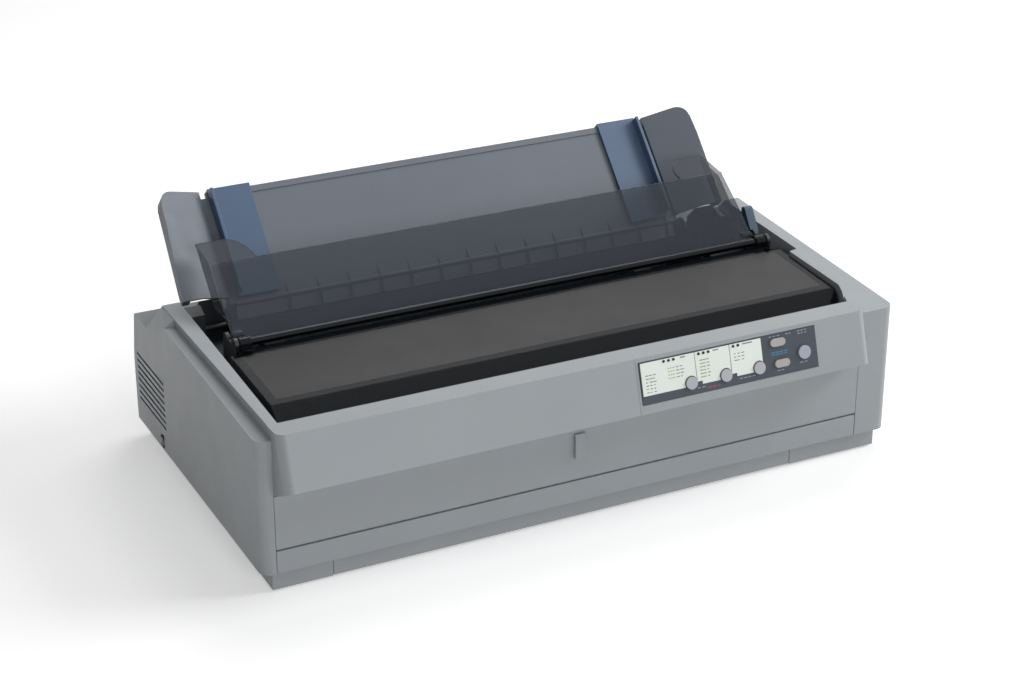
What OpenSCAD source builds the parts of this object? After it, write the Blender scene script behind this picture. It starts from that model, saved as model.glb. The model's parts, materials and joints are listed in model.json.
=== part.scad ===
// Wide carriage dot matrix printer, drawn piece by piece in millimetres.
// Sizes are measured from the door face (y = 0), the middle of the case (x = 0) and the floor (z = 0).
// The finished model is moved back so that its origin is under the middle of the base.

/* [Case] */
// Width over the side walls
case_w = 610; // [590:1:640]
// Depth from the door face to the rear of the case
case_d = 334; // [326:1:350]
// Wall of the mouldings
wall = 3; // [2.5:0.1:3.5]
// Gap between neighbouring covers
seam = 0.4; // [0.3:0.05:0.6]
// Height of the plinth
plinth_h = 19; // [16:0.5:21]
// How far the plinth stands in from the side walls
plinth_inset = 10; // [6:0.5:14]
// Radius of the upright corners
corner_r = 10; // [5:0.5:12]
// Height of the flat deck at the rear
deck_z = 128; // [126:0.5:132]
// Height of the ledge at its front end
ledge_front_z = 141.2; // [139:0.1:143]
// Height of the ledge at its rear end
ledge_rear_z = 149.8; // [147:0.1:152]
// Width of the ledge outside the rim
ledge_w = 12; // [9:0.5:14]
// Height of the rim at the front
rim_front_z = 151; // [149:0.1:153]
// Height of the rim at its highest place
rim_top_z = 158; // [156:0.1:160]
// How far the rim leans in at its front end
rim_lean_in = 4.5; // [2:0.1:6]

/* [Brow] */
// How far the foot of the brow stands out in front of the door
brow_out = 29; // [26:0.5:32]
// Height of the foot of the brow
brow_foot_z = 105.5; // [103:0.5:107]
// Lean of the brow's front face from upright, in degrees
brow_lean = 17.2; // [14:0.1:20]
// Height of the underside of the brow at the door face
bay_top_z = 91.4; // [89:0.1:93]
// Radius of the corners of the brow
brow_corner_r = 8.5; // [4:0.5:10]

/* [Opening and lid] */
// Width of the left rim up to the opening
rim_w = 24; // [22:0.5:26]
// Depth of the front rim behind the door face
front_rim_d = 9; // [7:0.5:11]
// Extra width of the right rim in front of the step
step_w = 9; // [6:0.5:12]
// Distance of the step in front of the hinge rod
step_ahead = 30.5; // [25:0.5:40]
// Gap between the lid and the edge of the opening
lid_gap = 3; // [2:0.5:5]
// Wall of the clear covers
cover_t = 2.4; // [2:0.1:3]
// Height of the lid at its front break
lid_front_z = 148.2; // [147:0.1:149.5]
// Diameter of the hinge rod
rod_d = 7.5; // [6:0.1:8]
// Distance of the hinge rod in front of the platen axis
rod_ahead = 40.5; // [37:0.5:45]
// Height of the hinge rod
rod_z = 156; // [155:0.5:158]

/* [Rear cover] */
// Slope of the raised rear cover above level, in degrees
rear_cover_slope = 39; // [35:0.5:44]
// Length of the rear cover up its slope
rear_cover_l = 75.3; // [68:0.1:80]
// Length of the ears behind its top edge
ear_l = 40; // [30:0.5:42]
// Width of each ear
ear_w = 43; // [25:1:48]

/* [Sheet guide] */
// Lean of the sheet guide back from upright, in degrees
guide_lean = 44; // [40:0.5:48]
// Length of the sheet guide up its slope
guide_l = 110; // [95:1:120]
// Width of each wing
wing_w = 41; // [38:0.5:42]
// How far the wings stand in front of the panel
wing_out = 24; // [18:0.5:26]
// Number of ribs at the foot of the panel
ribs = 14; // [10:1:18]
// Width of each sliding edge guide
edge_guide_w = 41; // [30:1:44]
// Height of the fence of the edge guides
fence_h = 13; // [8:0.5:15]
// Diameter of the pivot pins of the sheet guide
guide_pin_d = 6; // [4:0.1:7]

/* [Door] */
// Height of the fixed strip under the door
strip_top_z = 39.6; // [36:0.1:42]
// Width of the right column beside the door
column_w = 35; // [32:0.5:38]
// Diameter of the hinge pins of the door
door_pin_d = 3; // [2:0.1:4]
// Travel of the latch tab
latch_travel = 4; // [2:0.5:4.5]

/* [Control panel] */
// Width of the dark plate
panel_w = 176; // [170:1:184]
// Height of the dark plate
panel_h = 36.6; // [34:0.1:38]
// Distance of the plate's left end from the middle of the case
panel_x = 32; // [28:0.5:40]
// Diameter of the round buttons
button_d = 11; // [9:0.1:12]
// Diameter of the pause button
pause_d = 12; // [9:0.1:13]
// Length of the oblong buttons
pill_l = 15; // [12:0.1:17]
// Height of the oblong buttons
pill_h = 7; // [5:0.1:8]
// Travel of the buttons
button_travel = 1; // [0.5:0.1:1.2]
// Diameter of the lamps
lamp_d = 2.4; // [1.8:0.1:2.8]

/* [Platen] */
// Diameter of the rubber roller
platen_d = 32; // [26:0.5:34]
// Distance of the platen axis in front of the rear of the case
platen_ahead = 139; // [136:0.5:144]
// Height of the platen axis
platen_z = 102; // [100:0.5:104]
// Diameter of the platen shaft
shaft_d = 8; // [6:0.1:10]
// Diameter of the paper knob
knob_d = 38; // [30:0.5:40]
// Length of the paper knob
knob_l = 28.5; // [20:0.5:34]
// Radial clearance of shafts and pins in their holes
fit = 0.05; // [0.03:0.01:0.08]
// Tooth module of the paper feed gears
gear_m = 1; // [0.9:0.05:1]
// Sheet metal of the side frames
sheet_t = 2; // [1.5:0.1:2.5]

/* [Printing] */
// Diameter of the rod that carries the carriage
guide_rod_d = 12; // [8:0.5:14]
// Width of the carriage
carriage_w = 44; // [36:1:60]
// Diameter of the belt pulleys
pulley_d = 14; // [10:0.5:16]
// Thickness of the timing belt
belt_t = 1.2; // [0.8:0.1:1.5]
// Width of the timing belt
belt_w = 6; // [4:0.5:7]

/* [Tractors] */
// Side of the square tractor shaft
square_shaft = 6; // [5:0.1:7]
// Diameter of the round tractor bar
tractor_bar_d = 6; // [4:0.1:7]
// Diameter of the pin wheels without their pins
sprocket_d = 22; // [18:0.5:23]
// Distance of each tractor from its side frame at rest
tractor_inset = 50; // [46:1:80]

/* [Lever and switch] */
// Width of the paper release lever
lever_w = 8.5; // [6:0.1:9]
// Diameter of the lever's stud
lever_stud_d = 6; // [4:0.1:7]
// Height of the power rocker
rocker_h = 12; // [8:0.5:12]

/* [Hidden] */
$fn = 48;

// Colours as the machine shows them
case_grey = [0.61, 0.64, 0.67];
guide_grey = [0.44, 0.47, 0.50];
smoke = [0.24, 0.24, 0.25, 0.75];
black_plastic = [0.09, 0.09, 0.10];
panel_grey = [0.25, 0.28, 0.32];
card_white = [0.89, 0.92, 0.90];
button_grey = [0.75, 0.76, 0.79];
guide_blue = [0.33, 0.42, 0.55];
steel = [0.72, 0.73, 0.75];
board_green = [0.12, 0.36, 0.22];
gear_white = [0.90, 0.89, 0.84];

// Main places across the machine
half_w = case_w / 2;
rim_x = half_w - ledge_w;
open_left = -(half_w - rim_w - 1);
open_right = half_w - rim_w;
open_right_front = open_right - step_w;
bay_left = -(half_w - 12.5);
bay_right = half_w - column_w;
frame_x = half_w - 65;
shelf_inner_x = half_w - 49;
bracket_x = half_w - 41.5;
platen_half = frame_x - 15;
tractor_x = frame_x - tractor_inset;

// Main places from front to rear
base_front_y = 5;
base_rear_y = case_d - 9;
base_mid_y = (base_front_y + base_rear_y) / 2;
rear_knee_z = plinth_h + 21;
deck_rear_y = case_d - 18;
deck_front_y = case_d - 52;
open_rear_y = deck_front_y + 6;
rim_top_y = case_d - 78;
ledge_rear_y = case_d - 108;
guide_foot = [case_d - 72, deck_z + 15.5];
guide_pivot = guide_foot + [8, -9.5];
bay_d = 30;
platen_y = case_d - platen_ahead;
rod_y = platen_y - rod_ahead;
step_y = rod_y - step_ahead;
frame_front_y = platen_y - 103;
frame_rear_y = platen_y + 89;
well_floor_z = deck_z - 2;
shelf_z = well_floor_z - 8.5;
shelf_t = 2.5;

// Moves a piece from the measuring frame to the frame of the finished model
module in_frame() translate([0, -base_mid_y, 0]) children();

// Sweeps a side view, drawn as [y, z], from x0 to x1
module across(x0, x1) translate([x0, 0, 0]) rotate([90, 0, 90]) linear_extrude(x1 - x0) children();
module slab(x0, x1, points) across(x0, x1) polygon(points);

// A box between two corners
module block(low, high) translate(low) cube(high - low);

// A round bar along x
module bar_x(x0, x1, place, d) translate([x0, place[0], place[1]]) rotate([0, 90, 0]) cylinder(h = x1 - x0, d = d);

// Draws its children on both sides of the middle
module both_sides() {
    children();
    mirror([1, 0, 0]) children();
}

// Moves every edge of an anticlockwise outline inwards by d
function unit(v) = v / norm(v);
function left_of(p, q) = let(v = unit(q - p)) [-v[1], v[0]];
function corner_in(p, q, r, d) = let(a = left_of(p, q), b = left_of(q, r)) q + (a + b) * d / (1 + a * b);
function inset(o, d) = let(n = len(o)) [for (i = [0:n - 1]) corner_in(o[(i + n - 1) % n], o[i], o[(i + 1) % n], d)];

// Rectangle with all its corners rounded
module rounded_rect(x0, x1, y0, y1, r) {
    translate([x0 + r, y0]) square([x1 - x0 - 2 * r, y1 - y0]);
    translate([x0, y0 + r]) square([x1 - x0, y1 - y0 - 2 * r]);
    for (x = [x0 + r, x1 - r], y = [y0 + r, y1 - r]) translate([x, y]) circle(r);
}

// Oblong with round ends, centred
module stadium(l, h) {
    square([l - h, h], center = true);
    for (s = [-1, 1]) translate([s * (l - h) / 2, 0]) circle(d = h);
}

// Side views of the case
case_side = [[0, plinth_h], [case_d - 5, plinth_h], [case_d, rear_knee_z], [deck_rear_y, deck_z],
    [deck_front_y, deck_z], [ledge_rear_y, ledge_rear_z], [0, ledge_front_z]];
rim_side = [[0, deck_z - 8], [deck_front_y, deck_z - 8], [deck_front_y, deck_z],
    [rim_top_y, rim_top_z], [0, rim_front_z]];
brow_up = [sin(brow_lean), cos(brow_lean)];
brow_foot = [-brow_out, brow_foot_z];
brow_l = (rim_front_z + 1 - brow_foot_z) / cos(brow_lean);
brow_top = brow_foot + brow_up * brow_l;
brow_side = [[0, bay_top_z], [front_rim_d + wall, bay_top_z], [front_rim_d + wall, rim_front_z],
    brow_top, brow_foot];
brow_left = -(half_w - 13);
brow_right = bay_right - 7;

// Frame of the brow's face: x along it, z up it, y into the machine
module on_brow() translate([0, brow_foot[0], brow_foot[1]]) rotate([-brow_lean, 0, 0]) children();

// Everything above the plane through three points
module above_plane(a, b, c) {
    n = unit(cross(c - a, b - a));
    up = n[2] > 0 ? n : -n;
    size = 120;
    translate(a) rotate([0, acos(up[2]), atan2(up[1], up[0])]) translate([-size / 2, -size / 2, 0]) cube(size);
}

// Slanted shoulder that takes the ledge and the rim down to the rear deck, in two planes
shoulder_drop = 0.8;
rim_slope = (rim_top_z - rim_front_z) / rim_top_y;
nose_d = 29;
nose_side = [[0, deck_z - 8], [deck_front_y, deck_z - 8], [deck_front_y, deck_z], [rim_top_y, rim_top_z],
    [nose_d, rim_front_z + nose_d * rim_slope], [0, ledge_front_z]];
rim_end = [rim_x + 3, rim_top_y, rim_top_z - shoulder_drop];
in_rim_z = rim_top_z - shoulder_drop / 2;
rim_at_ledge = rim_end - (rim_top_y - ledge_rear_y) * [rim_lean_in / rim_top_y, 1, rim_slope];
ledge_end = [half_w, ledge_rear_y, ledge_rear_z];
module above_shoulder() {
    above_plane([half_w, deck_front_y, deck_z], ledge_end, rim_end);
    above_plane(ledge_end, rim_at_ledge, rim_end);
}

// Everything inside the leaning outer face of the rim
module inside_rim(inward) {
    lean = atan(rim_lean_in / rim_top_y);
    size = 2 * case_d;
    intersection_for (s = [-1, 1])
        translate([s * (rim_x + 3 - inward), rim_top_y, 0]) rotate([0, 0, -s * lean])
            translate([s > 0 ? -size : 0, -size / 2, 0]) cube([size, size, size]);
}

module case_outside() {
    intersection() {
        slab(-half_w, half_w, case_side);
        linear_extrude(2 * deck_z) rounded_rect(-half_w, half_w, 0, case_d, corner_r);
    }
    intersection() {
        union() {
            slab(-half_w, brow_right, rim_side);
            slab(-half_w, half_w, nose_side);
        }
        inside_rim(0);
    }
    difference() {
        slab(-half_w, half_w, [[ledge_rear_y, deck_z - 8], [deck_front_y, deck_z - 8], [deck_front_y, deck_z],
            [rim_top_y, rim_top_z], [ledge_rear_y, rim_top_z]]);
        both_sides() above_shoulder();
        block([-rim_x + 6, ledge_rear_y - 1, deck_z - 9], [rim_x - 6, deck_front_y + 1, rim_top_z + 1]);
        slab(-half_w - 1, half_w + 1, [[ledge_rear_y - 1, rim_top_z + 1],
            [ledge_rear_y - 1, in_rim_z - (rim_top_y - ledge_rear_y + 1) * rim_slope], [rim_top_y, in_rim_z],
            [rim_top_y + 2, in_rim_z], [rim_top_y + 2, rim_top_z + 1]]);
    }
    intersection() {
        slab(brow_left, brow_right, brow_side);
        on_brow() translate([0, 0, -2 * brow_out]) linear_extrude(3 * brow_l)
            rounded_rect(brow_left, brow_right, 0, 4 * brow_out, brow_corner_r);
    }
}

module case_inside() {
    difference() {
        slab(-half_w + wall, half_w - wall, inset(case_side, wall));
        block([-half_w, 0, 0], [half_w, bay_d + wall, bay_top_z + wall]);
    }
    intersection() {
        union() {
            slab(-half_w, brow_right - wall, inset(rim_side, wall));
            slab(-half_w, half_w, inset(nose_side, wall));
        }
        inside_rim(wall);
    }
    slab(brow_left + wall, brow_right - wall, inset(brow_side, wall));
    slab(brow_left + wall, brow_right - wall, [[-wall, bay_top_z + 2.5 * wall], [2 * wall, bay_top_z + wall],
        [2 * wall, ledge_front_z - wall], [-wall, ledge_front_z]]);
}

// Plan of the opening in the top, moved outwards by grow
module opening_plan(grow) {
    polygon([[open_left - 3 - grow, front_rim_d - grow], [open_right_front - 13 + grow, front_rim_d - grow],
        [open_right_front + grow, front_rim_d + 33], [open_right_front + grow, step_y + grow],
        [open_right + grow, step_y + 2 + grow], [open_right + grow, open_rear_y + grow],
        [open_left - grow, open_rear_y + grow]]);
}

module vent_slots() {
    pitch = 6.4;
    slots = 8;
    for (i = [0:slots - 1])
        block([-half_w - 1, case_d - 94, plinth_h + 24 + i * pitch],
            [-half_w + wall + 1, case_d - 18, plinth_h + 26.6 + i * pitch]);
}

// Places of the door, the latch and the rocker that the case is cut for
door_axis = [door_pin_d, strip_top_z + seam + door_pin_d];
latch_x = -15;
latch_w = 10;
rocker_y = case_d - 81;
rocker_z = plinth_h + 8;
rocker_pin_d = 2;
front_slot = [platen_z - 44, platen_z - 30];

module door_bay() {
    block([bay_left, -1, plinth_h - 1], [bay_right, bay_d, bay_top_z]);
    block([-half_w + wall, wall, plinth_h - 1], [bay_left - wall, bay_d, bay_top_z - wall]);
    block([bay_right + wall, wall, plinth_h - 1], [half_w - wall, bay_d, bay_top_z - wall]);
    bar_x(bay_left - 2 * wall, bay_right + 2 * wall, door_axis, door_pin_d + 2 * fit);
    block([latch_x - latch_w / 2 - 1, wall - 0.1, bay_top_z - 1],
        [latch_x + latch_w / 2 + 1, 2 * wall, bay_top_z + latch_travel + 2]);
    block([-platen_half, bay_d - 1, front_slot[0]], [platen_half, bay_d + wall + 1, front_slot[1]]);
}

module upper_case() color(case_grey) in_frame() difference() {
    union() {
        difference() {
            case_outside();
            case_inside();
        }
        intersection() {
            case_outside();
            translate([0, 0, well_floor_z - wall]) linear_extrude(60) difference() {
                opening_plan(wall);
                opening_plan(0);
            }
        }
        block([open_left - 3 - wall, front_rim_d - wall, well_floor_z - wall],
            [open_right_front - 10, front_rim_d + 21, well_floor_z]);
        for (y = [rocker_y - 6.4, rocker_y + 4])
            block([-half_w + wall / 2, y, rocker_z - 3], [-half_w + wall + 6, y + 2.4, rocker_z + 3]);
    }
    translate([0, 0, well_floor_z]) linear_extrude(60) opening_plan(0);
    block([open_left, front_rim_d + 21, well_floor_z - wall - 1], [open_right_front - 10, step_y, well_floor_z + 1]);
    block([open_left, step_y - 20, deck_z - 8], [open_right_front, open_rear_y, deck_z + 3]);
    block([-half_w + plinth_inset + 2 * wall, bay_d + 2 * wall, plinth_h - 1],
        [half_w - plinth_inset - 2 * wall, case_d - 18, plinth_h + 2 * wall]);
    door_bay();
    vent_slots();
    panel_cuts();
    bar_x(half_w - 2 * wall, half_w + 1, [platen_y, platen_z], shaft_d + 6);
    block([-half_w - 1, rocker_y - 3.6, rocker_z - rocker_h / 2 - 0.6],
        [-half_w + 3 * wall, rocker_y + 3.6, rocker_z + rocker_h / 2 + 0.6]);
    translate([-half_w + wall + 2, rocker_y - 8, rocker_z]) rotate([-90, 0, 0])
        cylinder(h = 16, d = rocker_pin_d + 2 * fit);
    for (c = rear_cuts) block([c[0], case_d - 30, c[1]], [c[2], case_d + 1, c[3]]);
}

// Openings for the plugs in the rear wall: left, bottom, right, top
inlet_x = half_w - 75;
inlet_w = 28;
inlet_z = plinth_h + 28;
inlet_h = 21;
port_x = -60;
port_w = 62;
port_h = 15;
rear_cuts = [[inlet_x, inlet_z, inlet_x + inlet_w, inlet_z + inlet_h],
    [port_x, inlet_z, port_x + port_w, inlet_z + port_h]];

module base_tray() color(case_grey) in_frame() {
    x = half_w - plinth_inset;
    skirt = [-(half_w - 64) - seam, half_w - 101 + seam];
    difference() {
        block([-x, base_front_y, tray_z], [x, base_rear_y, plinth_h]);
        block([-x + wall, base_front_y + 2 * wall, tray_z + wall], [x - wall, base_rear_y - wall, plinth_h + 1]);
        block([skirt[0], base_front_y - 1, tray_z - 1], [skirt[1], base_front_y + wall + 0.2, plinth_h + 1]);
        for (f = foot_places) translate([f[0], f[1], tray_z - 1]) cylinder(h = 2, d = foot_d + 1);
    }
    for (p = screw_places) translate([p[0], p[1], tray_z + wall / 2]) difference() {
        cylinder(h = flange_z - tray_z - wall / 2, d = 10);
        translate([0, 0, 4]) cylinder(h = flange_z, d = screw_d + 2 * fit);
    }
}
tray_z = 2;
foot_d = 24;
foot_places = [for (sx = [-1, 1], y = [base_front_y + 35, base_rear_y - 35]) [sx * (half_w - 50), y]];
screw_d = 4;
flange_z = 22;
screw_rows = [frame_front_y + 16, platen_y - 5, frame_rear_y - 12];
screw_places = [for (sx = [-1, 1], y = screw_rows) [sx * (frame_x + 9), y]];

module front_skirt() color(case_grey) in_frame()
    block([-(half_w - 64), base_front_y, 2.4], [half_w - 101, base_front_y + wall, plinth_h]);

module rubber_feet() color(black_plastic) in_frame()
    for (f = foot_places) translate([f[0], f[1], 0]) cylinder(h = 3, d = foot_d);

// Black frame under the edges of the opening, with a housing under each wing of the sheet guide
module inner_frame() color(black_plastic) in_frame() {
    top = shelf_z + shelf_t;
    inner = frame_x + 4;
    difference() {
        block([-half_w + wall + 2, bay_d + 2 * wall, shelf_z], [half_w - wall - 2, open_rear_y + 2, top]);
        block([-inner, bay_d + 4 * wall, shelf_z - 1], [inner, open_rear_y - 8, top + 1]);
        block([lever_x - lever_w / 2 - 1, lever_pivot[0] - 24, shelf_z - 1],
            [lever_x + lever_w / 2 + 1, lever_pivot[0] + 48, top + 1]);
        block([-gear_x - gear_w - 1.5, platen_y - pitch_r(0), shelf_z - 1],
            [-inner + 1, platen_y + pitch_r(0), top + 1]);
    }
    both_sides() {
        slab(bracket_x + 0.5, -open_left - 1.5, [[guide_foot[0] - 26, top - 1], [guide_foot[0] + 2, top - 1],
            guide_foot + [2, -4], guide_foot + [-14, 12], guide_foot + [-26, 7]]);
        slab(inner - 1, bracket_x + 1, [[guide_foot[0] - 12.5, top - 1], [guide_foot[0] + 2, top - 1],
            guide_foot + [2, 0.9], guide_foot + [-12.5, 14.8]]);
    }
}

module front_strip() color(case_grey) in_frame() {
    block([bay_left + seam, 0, plinth_h + 0.2], [bay_right - seam, wall, strip_top_z]);
    block([bay_left + seam, wall / 2, plinth_h + 0.2], [bay_right - seam, bay_d - 1, plinth_h + wall]);
}

module front_door() color(case_grey) in_frame() difference() {
    left = bay_left + seam;
    right = bay_right - seam;
    top = bay_top_z - 2 * seam;
    flange = 8;
    union() {
        block([left, 0, door_axis[1]], [right, wall, top]);
        bar_x(left, right, door_axis, 2 * door_pin_d);
        block([left, 0, top - wall], [right, flange, top]);
        for (x = [left, right - wall]) block([x, 0, door_axis[1] + 6], [x + wall, flange, top]);
        bar_x(bay_left - wall + 0.3, bay_right + wall - 0.3, door_axis, door_pin_d);
    }
    block([latch_x - latch_neck_w / 2 - 0.4, -1, latch_neck[0] - 1],
        [latch_x + latch_neck_w / 2 + 0.4, wall + 1, latch_neck[1] + latch_travel + 1]);
    block([latch_x - latch_w / 2 - 0.5, wall, top - wall - 1], [latch_x + latch_w / 2 + 0.5, flange - 2, top + 1]);
}
latch_foot_z = 63;
latch_neck = [latch_foot_z + 5, latch_foot_z + 15];
latch_neck_w = 4;

module door_latch() color(case_grey) in_frame() {
    tab_top = latch_foot_z + 23;
    top = bay_top_z - 1;
    block([latch_x - latch_w / 2, -4, latch_foot_z], [latch_x + latch_w / 2, -0.4, tab_top - 4]);
    slab(latch_x - latch_w / 2, latch_x + latch_w / 2, [[-4, tab_top - 4], [-0.4, tab_top - 4], [-0.4, tab_top],
        [-2.5, tab_top]]);
    block([latch_x - latch_neck_w / 2, -1, latch_neck[0]], [latch_x + latch_neck_w / 2, wall + 1, latch_neck[1]]);
    block([latch_x - latch_w / 2, wall + 0.4, latch_foot_z + 2], [latch_x + latch_w / 2, wall + 2.2, top]);
}

// Controls on the brow, all in the frame of its face
panel_foot = 8;
panel_end = panel_x + panel_w;
panel_top = panel_foot + panel_h;
plate_y = -0.5;
card_y = -1;
pocket_d = 1.6;
row_low = panel_foot + 10.3;
row_high = panel_foot + 29.2;
round_x = [for (share = [0.273, 0.469, 0.659]) panel_x + panel_w * share];
pill_x = [for (share = [0.776, 0.79]) panel_x + panel_w * share];
pause_place = [panel_x + panel_w * 0.923, panel_foot + 15.6];
card_edges = [for (share = [0.0045, 0.307, 0.503, 0.685]) panel_x + panel_w * share];
lamp_row = panel_top - 2.7;
lamps_of_card = [[0, 3], [1, 3], [2, 2]];
lamp_places = [for (c = lamps_of_card, i = [0:c[1] - 1])
    [card_edges[c[0]] + [23, 4, 4][c[0]] + 4.8 * i, lamp_row]];
board_y = 9.8;
switch_h = 1;
hole_gap = 0.4;

// Draws a flat shape given in x and z of the brow's face from depth y0 to depth y1
module sunk(y0, y1) on_brow() translate([0, y1, 0]) rotate([90, 0, 0]) linear_extrude(y1 - y0) children();

module button_holes(gap) {
    for (x = round_x) translate([x, row_low]) circle(d = button_d + 2 * gap);
    translate([pill_x[0], row_high]) stadium(pill_l + 2 * gap, pill_h + 2 * gap);
    translate([pill_x[1], row_low]) stadium(pill_l + 2 * gap, pill_h + 2 * gap);
    translate(pause_place) circle(d = pause_d + 2 * gap);
}

module lamp_holes(gap) for (p = lamp_places) translate(p) circle(d = lamp_d + 2 * gap);

brow_seam_x = panel_x - 3;
module panel_cuts() {
    sunk(-1, seam) translate([brow_seam_x, -brow_out]) square([seam, 3 * brow_out]);
    sunk(-1, pocket_d) translate([panel_x - 0.4, panel_foot - 0.4]) square([panel_w + 0.8, panel_h + 0.8]);
    sunk(-1, 2 * wall) {
        button_holes(hole_gap);
        lamp_holes(0.1);
    }
}

module control_panel() color(panel_grey) in_frame() sunk(plate_y, pocket_d - 0.05) difference() {
    rounded_rect(panel_x, panel_end, panel_foot, panel_top, 1.5);
    button_holes(hole_gap);
    lamp_holes(0.1);
}

module label_cards() color(card_white) in_frame() sunk(card_y, plate_y) difference() {
    for (i = [0:2]) translate([card_edges[i] + 0.3, panel_foot + 7.4])
        square([card_edges[i + 1] - card_edges[i] - 0.6, panel_h - 8.2]);
    button_holes(0.8);
    for (x = round_x) translate([x, row_low - button_d]) square([button_d, button_d]);
    lamp_holes(0.1);
}

module indicator_lamps() color([0.15, 0.3, 0.15]) in_frame() sunk(card_y - 0.5, board_y) lamp_holes(0);

module panel_board() color(board_green) in_frame() {
    sunk(board_y, board_y + 1.6) translate([panel_x + 4, panel_foot + 1]) square([panel_w - 8, panel_h - 2]);
    sunk(board_y - switch_h, board_y) {
        for (x = round_x) translate([x, row_low]) square(6, center = true);
        translate([pill_x[0], row_high]) square(6, center = true);
        translate([pill_x[1], row_low]) square(6, center = true);
        translate(pause_place) square(6, center = true);
    }
}

// A button: cap through the wall, with a collar behind it
module button(place) {
    sunk(-2.6, board_y - switch_h - button_travel - 0.3) translate(place) children();
    sunk(wall + 0.5, wall + 1.3) translate(place) square([16, 10], center = true);
}
module round_button(place, d) color(button_grey) in_frame() button(place) circle(d = d);
module pill_button(place) color(button_grey) in_frame() button(place) stadium(pill_l, pill_h);

module pitch_button() round_button([round_x[0], row_low], button_d);
module font_button() round_button([round_x[1], row_low], button_d);
module tear_off_button() round_button([round_x[2], row_low], button_d);
module load_button() pill_button([pill_x[0], row_high]);
module line_feed_button() pill_button([pill_x[1], row_low]);
module pause_button() round_button(pause_place, pause_d);

// Lid over the print head, a clear shell open below and behind
lid_left = open_left + 2 * lid_gap;
lid_right = open_right_front - 2;
lid_slope = 0.037;
lid_rear_y = rod_y - 4.5;
lid_break = [front_rim_d + 37.8, lid_front_z];
lid_rear = [lid_rear_y, lid_front_z + lid_slope * (lid_rear_y - lid_break[0])];
lid_front = [front_rim_d + 15, lid_front_z - 18.2];
lid_corner_gap = 2;
knuckle_w = 10;
knuckle_x = bracket_x - 1.5 - knuckle_w;

module print_cover() color(smoke) in_frame() difference() {
    union() {
        difference() {
            intersection() {
                slab(lid_left, lid_right, [lid_front, [lid_rear[0], lid_front[1] + 10], lid_rear, lid_break]);
                linear_extrude(2 * deck_z) opening_plan(-lid_corner_gap);
            }
            intersection() {
                slab(lid_left + cover_t, lid_right - cover_t, inset([lid_front + (lid_front - lid_break),
                    [2 * lid_rear[0], 0], [2 * lid_rear[0], lid_rear[1] + lid_slope * lid_rear[0]], lid_break], cover_t));
                linear_extrude(2 * deck_z) opening_plan(-lid_corner_gap - cover_t);
            }
            both_sides()
                block([knuckle_x + knuckle_w + 0.3, lid_rear_y - 8, 0], [half_w, lid_rear_y + 1, 2 * deck_z]);
        }
        both_sides() {
            bar_x(knuckle_x, knuckle_x + knuckle_w, [rod_y, rod_z], rod_d + 4);
            block([knuckle_x, lid_rear_y - 4, lid_rear[1] - cover_t], [knuckle_x + knuckle_w, rod_y, lid_rear[1]]);
        }
    }
    bar_x(-half_w, half_w, [rod_y, rod_z], rod_d + 2 * fit);
}

module cover_rod() color(black_plastic) in_frame() bar_x(-bracket_x - wall, bracket_x + wall, [rod_y, rod_z], rod_d);

// Cheeks that carry the rod and the pivots of the rear cover
cheek_t = 3;
rear_cover_foot = [rod_y + 15.5, rod_z - 3.9];
rear_cover_pivot = [rod_y + 21.5, rod_z - 2.5];
rear_pin_d = 5;

module hinge_brackets() color(black_plastic) in_frame() both_sides() difference() {
    union() {
        slab(bracket_x, bracket_x + cheek_t, [[rod_y - 5, shelf_z + shelf_t], [rod_y + 30, shelf_z + shelf_t],
            [rear_cover_pivot[0] + 5, rear_cover_pivot[1]], [rod_y - 5, rod_z]]);
        bar_x(bracket_x, bracket_x + cheek_t, [rod_y, rod_z], rod_d + 4);
        bar_x(bracket_x, bracket_x + cheek_t, rear_cover_pivot, rear_pin_d + 5);
        block([shelf_inner_x + 1, rod_y - 5, shelf_z + shelf_t],
            [bracket_x + cheek_t, rod_y + 30, shelf_z + shelf_t + 2]);
    }
    bar_x(bracket_x - 1, bracket_x + cheek_t + 1, [rod_y, rod_z], rod_d);
    bar_x(bracket_x - 1, bracket_x + cheek_t + 1, rear_cover_pivot, rear_pin_d + 2 * fit);
}

// Rear cover in its raised place: sloping plate, ears behind its top edge, side webs
rear_up = [cos(rear_cover_slope), sin(rear_cover_slope)];
rear_top = rear_cover_foot + rear_up * rear_cover_l;
ear_end = rear_top + [ear_l, ear_l * 0.14];
rear_half = bracket_x - 3;
ear_round = ear_w * 0.42;
ear_curve_y = rear_top[0] + 5;

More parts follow.
